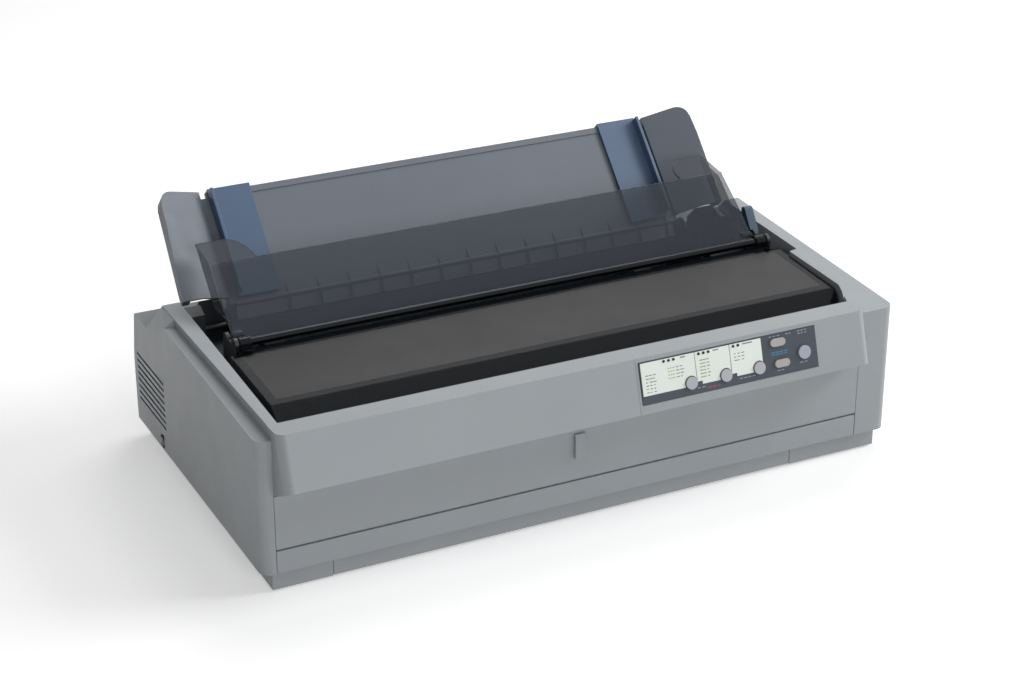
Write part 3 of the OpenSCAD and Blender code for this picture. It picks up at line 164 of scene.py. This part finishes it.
# Camera, solved from the photograph's straight edges: its place, the way it faces away from, its lens in mm
CAMERA_PLACE = (-0.8334, -1.5269 - MID, 0.9732)
CAMERA_BACK = (-0.4021, -0.8136, 0.4199)
CAMERA_LENS = 80.16
CAMERA_SENSOR = 36

# Soft lamps: name, place, aim, width in metres and power in watts
LAMPS = (
    ("key", (4.4, -1.3, 3.2), (0, 0, 0.1), 2.4, 200),
    ("top", (0.7, 0.8, 2.0), (0, 0, 0.1), 1.2, 18),
    ("front", (-0.3, -2.3, 0.95), (-0.3, 0, 0.1), 0.6, 13),
)
FLOOR_GREY = 0.75
FLOOR_SIZE = 30
FLOOR_GLOW = 0.42  # emission that lifts the floor to white where it is background
WORLD_FILL = 0.2
WORLD_SEEN = 1.0


def linear(hex_colour):
    """The linear colour of an sRGB hex value."""
    parts = [int(hex_colour[i : i + 2], 16) / 255 for i in (0, 2, 4)]
    return tuple(p / 12.92 if p <= 0.04045 else ((p + 0.055) / 1.055) ** 2.4 for p in parts)


# Properties


def colour(name, hex_value, about):
    return bpy.props.FloatVectorProperty(
        name=name, description=about, subtype="COLOR", size=3, min=0, max=1, default=linear(hex_value)
    )


def size(name, millimetres, about):
    return bpy.props.FloatProperty(name=name, description=about, unit="LENGTH", min=0, default=millimetres * MM)


class PrinterFinish(bpy.types.PropertyGroup):
    """Colours of the mouldings and metals."""

    case: colour("Case", "9ca1a5", "Grey ABS of the case, door and plinth")
    guide: colour("Sheet guide", "636a74", "Darker grey ABS of the sheet guide")
    smoke: colour("Lid", "0f1318", "Tinted acrylic of the lid")
    rear: colour("Rear cover", "3a4049", "Paler tinted acrylic of the rear cover")
    frost: colour("Lid top", "232323", "Matt top of the lid")
    black: colour("Black plastic", "101113", "Black ABS of the ribbon cartridge, the carriage and the cheeks")
    inner: colour("Inner frame", "2a2e32", "Charcoal ABS of the frame under the lid")
    tractor: colour("Tractors", "23272c", "Dark nylon of the tractor bodies and their covers")
    panel: colour("Control panel", "3f4650", "Dark plate behind the buttons")
    card: colour("Cards", "e9f0e9", "Light cards on the control panel")
    button: colour("Buttons", "b3b5bb", "Light grey buttons")
    blue: colour("Blue parts", "4a5f7a", "Grey blue plastic of the edge guides")
    lever: colour("Lever", "334b60", "Dark blue plastic of the paper release lever")
    board: colour("Circuit boards", "1e5a36", "Solder mask of the boards")
    steel: colour("Steel", "b8babf", "Zinc plated sheet and turned rods")
    rubber: colour("Rubber", "17181a", "Platen, belt and feet")


class PrinterSizes(bpy.types.PropertyGroup):
    """Radii of the moulded edges."""

    case_edge: size("Case edges", 1.6, "Radius on the outer edges of the case")
    door_edge: size("Door edges", 0.7, "Radius on the edges of the door and the strip")
    guide_edge: size("Guide edges", 1.4, "Radius on the edges of the sheet guide")
    cover_edge: size("Cover edges", 1.0, "Radius on the edges of the clear covers")
    small_edge: size("Small edges", 0.5, "Radius on the edges of small mouldings")
    lid_corner: size("Lid corners", 5.0, "Radius of the upright front corners of the lid")
    lid_border: size("Lid border", 8.0, "Width of the polished border round the matt top of the lid")


# Materials


NOISE_LOW, NOISE_HIGH = 0.3, 0.7  # nearly all of a noise texture's values lie between these

# Sizes of the patches that the colour and the roughness drift in
PLASTIC_COLOUR, PLASTIC_WEAR = 60 * MM, 25 * MM
ACRYLIC_COLOUR, ACRYLIC_WEAR = 35 * MM, 40 * MM
METAL_COLOUR, METAL_BRUSH = 30 * MM, 0.6 * MM
METAL_SHARE = 0.05
ACRYLIC_IOR = 1.49


def add(tree, kind, inputs=None, **settings):
    """Adds one node, sets its settings, and fills its inputs with values or links.
    A kind without the word Node is short for a shader node."""
    node = tree.nodes.new(kind if "Node" in kind else "ShaderNode" + kind)
    for key, value in settings.items():
        setattr(node, key, value)
    for key, value in (inputs or {}).items():
        if isinstance(value, bpy.types.NodeSocket):
            tree.links.new(value, node.inputs[key])
        else:
            node.inputs[key].default_value = value
    return node


def started(name, rgb, roughness, ior=1.5, **sockets):
    """A new material, its tree, its shader and the piece's own coordinates."""
    made = bpy.data.materials.new(name)
    made.use_nodes = True
    tree = made.node_tree
    shader = tree.nodes["Principled BSDF"]
    shader.inputs["Base Color"].default_value = (*rgb, 1)
    shader.inputs["Roughness"].default_value = roughness
    shader.inputs["IOR"].default_value = ior
    for key, value in sockets.items():
        shader.inputs[key.replace("_", " ")].default_value = value
    return made, tree, shader, add(tree, "TexCoord").outputs["Object"]


def mottled(tree, shader, place, rgb, feature, share):
    """Drifts the colour by a share, in patches of the given size."""
    noise = add(tree, "TexNoise", {"Vector": place, "Scale": 1 / feature, "Detail": 3.0})
    ends = [tuple(min(1, c * (1 + s)) for c in rgb) for s in (-share, share)]
    ramp = add(tree, "ValToRGB", {"Fac": noise.outputs["Fac"]})
    for stop, at, end in zip(ramp.color_ramp.elements, (NOISE_LOW, NOISE_HIGH), ends):
        stop.position = at
        stop.color = (*end, 1)
    tree.links.new(ramp.outputs["Color"], shader.inputs["Base Color"])


def grained(tree, shader, place, grain, depth):
    """Gives the surface a fine pitted relief of the given grain size and depth."""
    noise = add(tree, "TexNoise", {"Vector": place, "Scale": 1 / grain, "Detail": 2.0})
    bump = add(tree, "Bump", {"Height": noise.outputs["Fac"], "Distance": depth, "Strength": 1.0})
    tree.links.new(bump.outputs["Normal"], shader.inputs["Normal"])


def roughened(tree, shader, place, low, high, feature):
    """Lets the roughness wander between two values, in patches of the given size."""
    noise = add(tree, "TexNoise", {"Vector": place, "Scale": 1 / feature, "Detail": 4.0})
    ends = {"From Min": NOISE_LOW, "From Max": NOISE_HIGH, "To Min": low, "To Max": high}
    span = add(tree, "MapRange", {"Value": noise.outputs["Fac"], **ends})
    tree.links.new(span.outputs["Result"], shader.inputs["Roughness"])


def moulded(name, rgb, low, high, grain=0.9, depth=0.03, share=0.02):
    """Moulded plastic with a fine grain; grain and depth in mm, roughness from low to high."""
    made, tree, shader, place = started(name, rgb, low)
    mottled(tree, shader, place, rgb, PLASTIC_COLOUR, share)
    grained(tree, shader, place, grain * MM, depth * MM)
    roughened(tree, shader, place, low, high, PLASTIC_WEAR)
    return made


def smoked(name, rgb, alpha, low, high, level, share=0.0):
    """Tinted acrylic that what lies behind shows through; its gloss is cut by its low level."""
    made, tree, shader, place = started(name, rgb, low, ACRYLIC_IOR, Alpha=alpha, Specular_IOR_Level=level)
    roughened(tree, shader, place, low, high, ACRYLIC_WEAR)
    if share:
        mottled(tree, shader, place, rgb, ACRYLIC_COLOUR, share)
    return made


def metal(name, rgb, low, high, stretch=(1, 1, 1)):
    """Bare or plated steel, with brush marks drawn out along the stretch."""
    made, tree, shader, place = started(name, rgb, low, Metallic=1.0)
    drawn = add(tree, "Mapping", {"Vector": place, "Scale": stretch}).outputs["Vector"]
    roughened(tree, shader, drawn, low, high, METAL_BRUSH)
    mottled(tree, shader, place, rgb, METAL_COLOUR, METAL_SHARE)
    return made


def finishes():
    """Every finish of the machine, by name; made once."""
    if not FINISHES:
        p = bpy.context.scene.printer_finish
        FINISHES.update(
            # ABS from a spark eroded mould: an even fine grain that spreads every lamp into a soft sheen
            case=moulded("Case ABS, moulded", p.case, 0.42, 0.5),
            guide=moulded("Guide ABS, moulded", p.guide, 0.5, 0.6),
            # Its foot is smoother, and painted paler as a highlight, so a line of light runs along it
            bead=moulded("Guide ABS, smooth foot, painted highlight", linear("8d949e"), 0.22, 0.3, 0.9, 0.01),
            inner=moulded("Inner frame ABS, moulded", p.inner, 0.4, 0.5, 1.2, 0.02),
            black=moulded("Black ABS, moulded", p.black, 0.35, 0.45, 1.5, 0.01),
            blue=moulded("Blue ABS, moulded", p.blue, 0.38, 0.46),
            lever=moulded("Lever ABS, moulded", p.lever, 0.34, 0.42),
            # The same plastic from a polished mould: smoother, so the round edges catch a clear light
            button=moulded("Button ABS, polished mould", p.button, 0.28, 0.34, 0.5, 0.004),
            oblong=moulded("Oblong button ABS, polished mould", linear("aeaba9"), 0.28, 0.34, 0.5, 0.004),
            pause=moulded("Pause button ABS, polished mould", linear("a5acb8"), 0.28, 0.34, 0.5, 0.004),
            # Cast acrylic with a smoke dye: mirror smooth, dark, and what is under it shows faintly
            lid=smoked("Smoke acrylic of the lid, polished", p.smoke, 0.78, 0.05, 0.12, 0.22),
            smoke=smoked("Smoke acrylic of the rear cover, polished", p.rear, 0.52, 0.04, 0.08, 0.3),
            # Its rounded edges in a pale grey: a painted highlight along them
            edge=smoked("Smoke acrylic edge, painted highlight", linear("8b9095"), 0.8, 0.1, 0.2, 0.6),
            # The same sheet from a textured mould face: a grey haze with no sharp reflection in it
            frost=smoked("Smoke acrylic of the lid, textured", p.frost, 0.86, 0.34, 0.46, 0.35, 0.12),
            # Screen printed polycarbonate film on the brow: flat and satin
            panel=moulded("Panel film, satin", p.panel, 0.35, 0.42, 0.6, 0.01),
            card=moulded("Card, printed film", p.card, 0.45, 0.5, 0.5, 0.004),
            # Screen ink lies matt on the film
            ink=moulded("Screen ink, grey", linear("7d8783"), 0.55, 0.65, 0.4, 0.003),
            ink_green=moulded("Screen ink, green", linear("a8ab62"), 0.55, 0.65, 0.4, 0.003),
            ink_light=moulded("Screen ink, light", linear("8f96a0"), 0.55, 0.65, 0.4, 0.003),
            ink_blue=moulded("Screen ink, blue", linear("3f7a9e"), 0.55, 0.65, 0.4, 0.003),
            ink_red=moulded("Screen ink, red", linear("8d4a55"), 0.55, 0.65, 0.4, 0.003),
            # Dyed epoxy lens of an unlit lamp: dark green and glassy
            lamp=moulded("Lamp lens, dyed epoxy", linear("1b2a1e"), 0.12, 0.2, 0.8, 0.004),
            # Glass fibre board under a solder mask: glossy green with a faint cloth pattern
            board=moulded("Circuit board, solder mask", p.board, 0.3, 0.4, 2.0, 0.02, 0.1),
            # Acetal, cut or moulded: creamy white and slightly waxy
            acetal=moulded("Gears, acetal", linear("e2dfd2"), 0.35, 0.42),
            tractor=moulded("Tractor nylon, moulded", p.tractor, 0.38, 0.48),
            # Ground nitrile rubber: dull, with a fine velvet of grinding marks
            rubber=moulded("Rubber, ground", p.rubber, 0.6, 0.75, 0.7, 0.05, 0.1),
            # Woven nylon soaked in ink: black and without shine
            ribbon=moulded("Ribbon cloth, inked", linear("121316"), 0.7, 0.85, 0.4, 0.03),
            # Zinc plated sheet, and near black sheet for the side frames and the tie bar
            steel=metal("Sheet steel, zinc plated", p.steel, 0.3, 0.5),
            coated=moulded("Sheet steel, black coated", linear("17191b"), 0.4, 0.55, 1.0, 0.02),
            motor=moulded("Motor can, painted", linear("3b4045"), 0.3, 0.4),
            # Ground bar: fine marks run round it, so its highlight is drawn out along its length
            rod=metal("Steel rod, ground", p.steel, 0.14, 0.24, (0.02, 1, 1)),
            gloss=metal("Hinge rod, black oxide on ground steel", linear("26282c"), 0.12, 0.2, (0.02, 1, 1)),
        )
    return FINISHES


# Mesh helpers


def own_copy(node):
    """The node's mesh as an editable bmesh, its doubles merged and its flat faces joined."""
    bm = bmesh.new()
    bm.from_mesh(NODES[node].data)
    bmesh.ops.remove_doubles(bm, verts=bm.verts, dist=MERGE)
    bmesh.ops.dissolve_degenerate(bm, edges=bm.edges, dist=MERGE / 2)
    bmesh.ops.dissolve_limit(bm, angle_limit=math.radians(FLAT), verts=bm.verts, edges=bm.edges)
    return bm


def placed(bm, name, body, finish, replaces=()):
    """Turns a bmesh into a piece that rides on a body."""
    mesh = bpy.data.meshes.new(name)
    bm.to_mesh(mesh)
    bm.free()
    piece = bpy.data.objects.new(name, mesh)
    bpy.context.scene.collection.objects.link(piece)
    mesh.materials.append(finishes()[finish])
    mesh.shade_smooth()
    mesh.set_sharp_from_angle(angle=math.radians(SHARP))
    weighted = piece.modifiers.new("Normals", "WEIGHTED_NORMAL")
    weighted.keep_sharp = True
    weighted.weight = 100
    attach(piece, body)
    if replaces:
        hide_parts(*replaces)
    return piece


def rounded(bm, radius, segments, pick=None, slot=-1):
    """Rounds the edges of a solid that turn by more than the least angle, or those that pick chooses."""
    edges = [
        e
        for e in bm.edges
        if len(e.link_faces) == 2
        and e.calc_face_angle(0) > math.radians(LEAST_TURN)
        and (pick is None or pick(*(v.co for v in e.verts)))
    ]
    bmesh.ops.bevel(
        bm,
        geom=edges,
        offset=radius,
        segments=segments,
        profile=0.5,
        affect="EDGES",
        clamp_overlap=True,
        material=slot,
    )


def softened(node, finish, radius, name=None, first=None, edge=None):
    """Stands for a CAD node: the same solid with its sharp edges rounded.
    First is a radius and a choice of edges to round before the rest; edge is a finish for the rounded edges."""
    bm = own_copy(node)
    if first:
        rounded(bm, first[0], CORNER_SEGMENTS, first[1])
    rounded(bm, radius, ROUND_SEGMENTS, slot=1 if edge else -1)
    piece = placed(bm, name or node + "_moulding", BODY_OF[node], finish, (node,))
    if edge:
        piece.data.materials.append(finishes()[edge])
    return piece


def dressed(finish, *names):
    """Gives CAD nodes a better material and leaves their shape."""
    for name in names:
        mesh = NODES[name].data
        mesh.materials.clear()
        mesh.materials.append(finishes()[finish])


def second_finish(piece, finish, chosen):
    """Gives the faces whose centre is chosen a second finish."""
    piece.data.materials.append(finishes()[finish])
    for face in piece.data.polygons:
        if chosen(face.center):
            face.material_index = 1


def matt_top(piece, finish, border):
    """Gives the largest upward face of a cover a second finish, inside a border."""
    bm = bmesh.new()
    bm.from_mesh(piece.data)
    top = max((f for f in bm.faces if f.normal.z > 0.9), key=lambda f: f.calc_area())
    bmesh.ops.inset_region(bm, faces=[top], thickness=border, use_even_offset=True)
    top.material_index = 1
    bm.to_mesh(piece.data)
    bm.free()
    piece.data.materials.append(finishes()[finish])


# Printed marks


def rows_tree():
    """Geometry Nodes that set short bars in rows, each of its own length from a fixed seed."""
    tree = bpy.data.node_groups.new("Printed rows", "GeometryNodeTree")
    face = tree.interface
    for name, kind, default in (
        ("Columns", "NodeSocketInt", 2),
        ("Rows", "NodeSocketInt", 4),
        ("Column pitch", "NodeSocketFloat", 0.005),
        ("Row pitch", "NodeSocketFloat", 0.003),
        ("Bar length", "NodeSocketFloat", 0.004),
        ("Bar height", "NodeSocketFloat", 0.001),
        ("Bar depth", "NodeSocketFloat", 0.0001),
        ("Shortest", "NodeSocketFloat", 0.6),
        ("Seed", "NodeSocketInt", 1),
        ("Finish", "NodeSocketMaterial", None),
    ):
        socket = face.new_socket(name=name, in_out="INPUT", socket_type=kind)
        if default is not None:
            socket.default_value = default
    face.new_socket(name="Geometry", in_out="OUTPUT", socket_type="NodeSocketGeometry")
    given = tree.nodes.new("NodeGroupInput").outputs
    done = tree.nodes.new("NodeGroupOutput")

    def combined(x=0.0, y=0.0, z=0.0):
        return add(tree, "CombineXYZ", {"X": x, "Y": y, "Z": z}).outputs["Vector"]

    def math_node(operation, *values):
        return add(tree, "Math", dict(enumerate(values)), operation=operation).outputs[0]

    index = add(tree, "GeometryNodeInputIndex").outputs["Index"]
    count = math_node("MULTIPLY", given["Columns"], given["Rows"])
    line = add(tree, "GeometryNodeMeshLine", {"Count": count, "Offset": (0.0, 0.0, 0.0)})
    column = math_node("MODULO", index, given["Columns"])
    row = math_node("FLOOR", math_node("DIVIDE", index, given["Columns"]))
    across = math_node("MULTIPLY", column, given["Column pitch"])
    down = math_node("MULTIPLY", math_node("MULTIPLY", row, given["Row pitch"]), -1.0)
    spots = add(
        tree, "GeometryNodeSetPosition", {"Geometry": line.outputs["Mesh"], "Position": combined(across, 0.0, down)}
    )
    bar_size = combined(given["Bar length"], given["Bar depth"], given["Bar height"])
    bar = add(tree, "GeometryNodeMeshCube", {"Size": bar_size})
    half = math_node("MULTIPLY", given["Bar length"], 0.5)
    from_left = add(
        tree, "GeometryNodeTransform", {"Geometry": bar.outputs["Mesh"], "Translation": combined(half)}
    )
    chance = add(
        tree, "FunctionNodeRandomValue", {2: given["Shortest"], 3: 1.0, "Seed": given["Seed"]}, data_type="FLOAT"
    )
    bars = add(
        tree,
        "GeometryNodeInstanceOnPoints",
        {
            "Points": spots.outputs["Geometry"],
            "Instance": from_left.outputs["Geometry"],
            "Scale": combined(chance.outputs[1], 1.0, 1.0),
        },
    )
    real = add(tree, "GeometryNodeRealizeInstances", {"Geometry": bars.outputs["Instances"]})
    coloured = add(
        tree, "GeometryNodeSetMaterial", {"Geometry": real.outputs["Geometry"], "Material": given["Finish"]}
    )
    tree.links.new(coloured.outputs["Geometry"], done.inputs["Geometry"])
    return tree


def on_brow(x, up, out):
    """The place on the brow's face at x across and up, standing out of it, all in mm."""
    turn = Matrix.Rotation(-BROW_LEAN, 4, "X")
    return Matrix.Translation(Vector(BROW_FOOT)) @ turn @ Matrix.Translation(Vector((x, -out, up)) * MM)


def printed(tree, bm, ink, group):
    """Adds a group of rows of bars to a bmesh that lies on the brow."""
    holder = bpy.data.objects.new("rows", bpy.data.meshes.new("rows"))
    bpy.context.scene.collection.objects.link(holder)
    made = holder.modifiers.new("rows", "NODES")
    made.node_group = tree
    wanted = {
        "Columns": group.columns,
        "Rows": group.rows,
        "Column pitch": group.column_pitch * MM,
        "Row pitch": group.row_pitch * MM,
        "Bar length": group.length * MM,
        "Bar height": group.height * MM,
        "Bar depth": BAR_DEPTH * MM,
        "Shortest": group.shortest,
        "Seed": group.seed,
        "Finish": finishes()[ink],
    }
    for item in tree.interface.items_tree:
        if item.item_type == "SOCKET" and item.in_out == "INPUT":
            made[item.identifier] = wanted[item.name]
    solid = bpy.data.meshes.new_from_object(holder.evaluated_get(bpy.context.evaluated_depsgraph_get()))
    bpy.data.objects.remove(holder)
    solid.transform(on_brow(group.left, group.up, group.out))
    bm.from_mesh(solid)
    bpy.data.meshes.remove(solid)


# Operators


class PRINTER_OT_case(bpy.types.Operator):
    """Case, door, strip and plinth in grained grey ABS."""

    bl_idname = "printer.case"
    bl_label = "Case"

    def execute(self, context):
        s = context.scene.printer_sizes
        softened("upper_case", "case", s.case_edge)
        for node in ("front_door", "front_strip", "base_tray", "front_skirt"):
            softened(node, "case", s.door_edge)
        softened("door_latch", "case", s.small_edge)
        dressed("rubber", "rubber_feet")
        softened("inner_frame", "inner", s.small_edge)
        return {"FINISHED"}


class PRINTER_OT_covers(bpy.types.Operator):
    """Smoke lid, rear cover, hinge rod and its cheeks."""

    bl_idname = "printer.covers"
    bl_label = "Clear covers"

    def execute(self, context):
        s = context.scene.printer_sizes
        low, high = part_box("print_cover")

        def front_corner(a, b):
            steep = abs(a.z - b.z) > LID_CORNER_SLOPE * abs(a.x - b.x)
            at_front = max(a.y, b.y) < low[1] + LID_CORNER_DEPTH
            at_side = min(abs(a.x), abs(b.x)) > high[0] - LID_CORNER_WIDTH
            return steep and at_front and at_side

        lid = softened("print_cover", "lid", s.cover_edge, first=(s.lid_corner, front_corner))
        matt_top(lid, "frost", s.lid_border)
        # The rear cover's rounded edges take a paler finish: a painted highlight along them
        softened("rear_cover", "smoke", s.cover_edge, edge="edge")
        softened("cover_rod", "gloss", s.small_edge)
        softened("hinge_brackets", "black", s.small_edge)
        return {"FINISHED"}


class PRINTER_OT_guides(bpy.types.Operator):
    """Sheet guide with its wings, the two edge guides and the paper release lever."""

    bl_idname = "printer.guides"
    bl_label = "Paper guides"

    def execute(self, context):
        s = context.scene.printer_sizes
        guide = softened("sheet_guide", "guide", s.guide_edge)
        middle = [v.co for v in NODES["sheet_guide"].data.vertices if abs(v.co.x) < GUIDE_MIDDLE]
        low = min(c.z for c in middle)
        front = min(c.y for c in middle)
        # The foot takes a second, paler finish: a painted highlight along it
        second_finish(
            guide,
            "bead",
            lambda c: c.z < low + FOOT_SIZE and c.y < front + FOOT_SIZE and abs(c.x) < FOOT_REACH,
        )
        for node in ("edge_guide_left", "edge_guide_right"):
            softened(node, "blue", s.small_edge)
        softened("paper_release_lever", "lever", s.small_edge)
        return {"FINISHED"}


class PRINTER_OT_controls(bpy.types.Operator):
    """Control panel, cards, lamps, buttons, knob and power switch."""

    bl_idname = "printer.controls"
    bl_label = "Controls"

    def execute(self, context):
        s = context.scene.printer_sizes
        softened("control_panel", "panel", s.small_edge)
        dressed("card", "label_cards")
        dressed("lamp", "indicator_lamps")
        dressed("board", "panel_board")
        for key, finish in (
            ("pitch", "button"), ("font", "button"), ("tear_off", "button"),
            ("load", "oblong"), ("line_feed", "oblong"), ("pause", "pause"),
        ):
            softened(key + "_button", finish, s.small_edge)
        softened("platen_knob", "case", s.small_edge)
        dressed("black", "power_switch")
        tree = rows_tree()
        for name, ink, slot, groups in PRINTS:
            bm = bmesh.new()
            for group in groups:
                printed(tree, bm, ink, group)
            placed(bm, name, "case", ink)
        return {"FINISHED"}


class PRINTER_OT_feed(bpy.types.Operator):
    """Platen, gears, motor and tractors."""

    bl_idname = "printer.feed"
    bl_label = "Paper feed"

    def execute(self, context):
        dressed("rubber", "platen")
        dressed("rod", "platen_shaft", "tractor_shaft", "tractor_bar")
        dressed("acetal", "platen_gear", "idler_gear")
        dressed("steel", "feed_pinion", "frame_screws")
        for node in ("side_frame_left", "side_frame_right", "frame_tie_bar"):
            softened(node, "coated", SHEET_EDGE, node + "_pressing")
        dressed("motor", "feed_motor")
        for node in ("tractor_left", "tractor_right", "tractor_cover_left", "tractor_cover_right"):
            softened(node, "tractor", INNER_EDGE)
        dressed("blue", "sprocket_left", "sprocket_right")
        return {"FINISHED"}


class PRINTER_OT_printing(bpy.types.Operator):
    """Carriage, head, ribbon and belt drive."""

    bl_idname = "printer.printing"
    bl_label = "Printing parts"

    def execute(self, context):
        for node in ("carriage", "ribbon_cartridge"):
            softened(node, "black", INNER_EDGE)
        dressed("black", "print_head")
        dressed("blue", "ribbon_knob")
        dressed("ribbon", "ribbon")
        dressed("rubber", "timing_belt")
        dressed("rod", "guide_rod", "motor_pulley", "idler_pulley")
        dressed("motor", "carriage_motor")
        return {"FINISHED"}


class PRINTER_OT_electrics(bpy.types.Operator):
    """Boards and plugs."""

    bl_idname = "printer.electrics"
    bl_label = "Electrics"

    def execute(self, context):
        dressed("board", "main_board", "power_board")
        dressed("black", "ac_inlet")
        dressed("steel", "parallel_connector")
        return {"FINISHED"}


def background_seen(tree):
    """One where the camera, a mirror or a clear cover looks at the background, else zero."""
    path = add(tree, "LightPath")
    rays = {0: path.outputs["Is Camera Ray"], 1: path.outputs["Is Transmission Ray"]}
    seen = add(tree, "Math", rays, operation="MAXIMUM")
    return add(tree, "Math", {0: seen.outputs[0], 1: path.outputs["Is Glossy Ray"]}, operation="MAXIMUM").outputs[0]


class PRINTER_OT_stage(bpy.types.Operator):
    """Pale floor, soft lamps and the camera."""

    bl_idname = "printer.stage"
    bl_label = "Stage"

    def execute(self, context):
        scene = context.scene
        scene.view_settings.view_transform = "Standard"
        paper = bpy.data.materials.new("Floor, matt paper")
        paper.use_nodes = True
        tree = paper.node_tree
        shader = tree.nodes["Principled BSDF"]
        shader.inputs["Base Color"].default_value = (FLOOR_GREY, FLOOR_GREY, FLOOR_GREY, 1)
        shader.inputs["Roughness"].default_value = 0.9
        glow = add(tree, "MapRange", {"Value": background_seen(tree), "To Min": 0.0, "To Max": FLOOR_GLOW})
        shader.inputs["Emission Color"].default_value = (1, 1, 1, 1)
        tree.links.new(glow.outputs["Result"], shader.inputs["Emission Strength"])
        bm = bmesh.new()
        bmesh.ops.create_grid(bm, x_segments=1, y_segments=1, size=FLOOR_SIZE)
        mesh = bpy.data.meshes.new("floor")
        bm.to_mesh(mesh)
        bm.free()
        floor = bpy.data.objects.new("floor", mesh)
        mesh.materials.append(paper)
        scene.collection.objects.link(floor)
        world = bpy.data.worlds.new("Studio")
        world.use_nodes = True
        scene.world = world
        tree = world.node_tree
        background = tree.nodes["Background"]
        strength = add(tree, "MapRange", {"Value": background_seen(tree), "To Min": WORLD_FILL, "To Max": WORLD_SEEN})
        background.inputs["Color"].default_value = (1, 1, 1, 1)
        tree.links.new(strength.outputs["Result"], background.inputs["Strength"])
        for name, place, aim, width, power in LAMPS:
            light = bpy.data.lights.new(name, "AREA")
            light.shape = "SQUARE"
            light.size = width
            light.energy = power
            lamp = bpy.data.objects.new(name, light)
            lamp.location = place
            lamp.rotation_mode = "QUATERNION"
            lamp.rotation_quaternion = (Vector(aim) - Vector(place)).to_track_quat("-Z", "Y")
            scene.collection.objects.link(lamp)
        view = bpy.data.cameras.new("camera")
        view.sensor_width = CAMERA_SENSOR
        view.lens = CAMERA_LENS
        camera = bpy.data.objects.new("camera", view)
        camera.location = CAMERA_PLACE
        camera.rotation_mode = "QUATERNION"
        camera.rotation_quaternion = (-Vector(CAMERA_BACK)).to_track_quat("-Z", "Y")
        scene.collection.objects.link(camera)
        scene.camera = camera
        return {"FINISHED"}


STEPS = (
    PRINTER_OT_case,
    PRINTER_OT_covers,
    PRINTER_OT_guides,
    PRINTER_OT_controls,
    PRINTER_OT_feed,
    PRINTER_OT_printing,
    PRINTER_OT_electrics,
    PRINTER_OT_stage,
)


class PRINTER_PT_panel(bpy.types.Panel):
    """Lists the steps, the sizes and the colours."""

    bl_idname = "PRINTER_PT_panel"
    bl_label = "Dot matrix printer"
    bl_space_type = "VIEW_3D"
    bl_region_type = "UI"
    bl_category = "Printer"

    def draw(self, context):
        for group in (context.scene.printer_sizes, context.scene.printer_finish):
            box = self.layout.box()
            for key in group.__annotations__:
                box.prop(group, key)
        for step in STEPS:
            self.layout.operator(step.bl_idname)


CLASSES = (PrinterFinish, PrinterSizes, *STEPS, PRINTER_PT_panel)


def register():
    for cls in CLASSES:
        bpy.utils.register_class(cls)
    bpy.types.Scene.printer_finish = bpy.props.PointerProperty(type=PrinterFinish)
    bpy.types.Scene.printer_sizes = bpy.props.PointerProperty(type=PrinterSizes)


def unregister():
    del bpy.types.Scene.printer_sizes
    del bpy.types.Scene.printer_finish
    for cls in reversed(CLASSES):
        bpy.utils.unregister_class(cls)


def main():
    register()
    for step in STEPS:
        group, name = step.bl_idname.split(".")
        getattr(getattr(bpy.ops, group), name)()


if __name__ == "__main__":
    main()
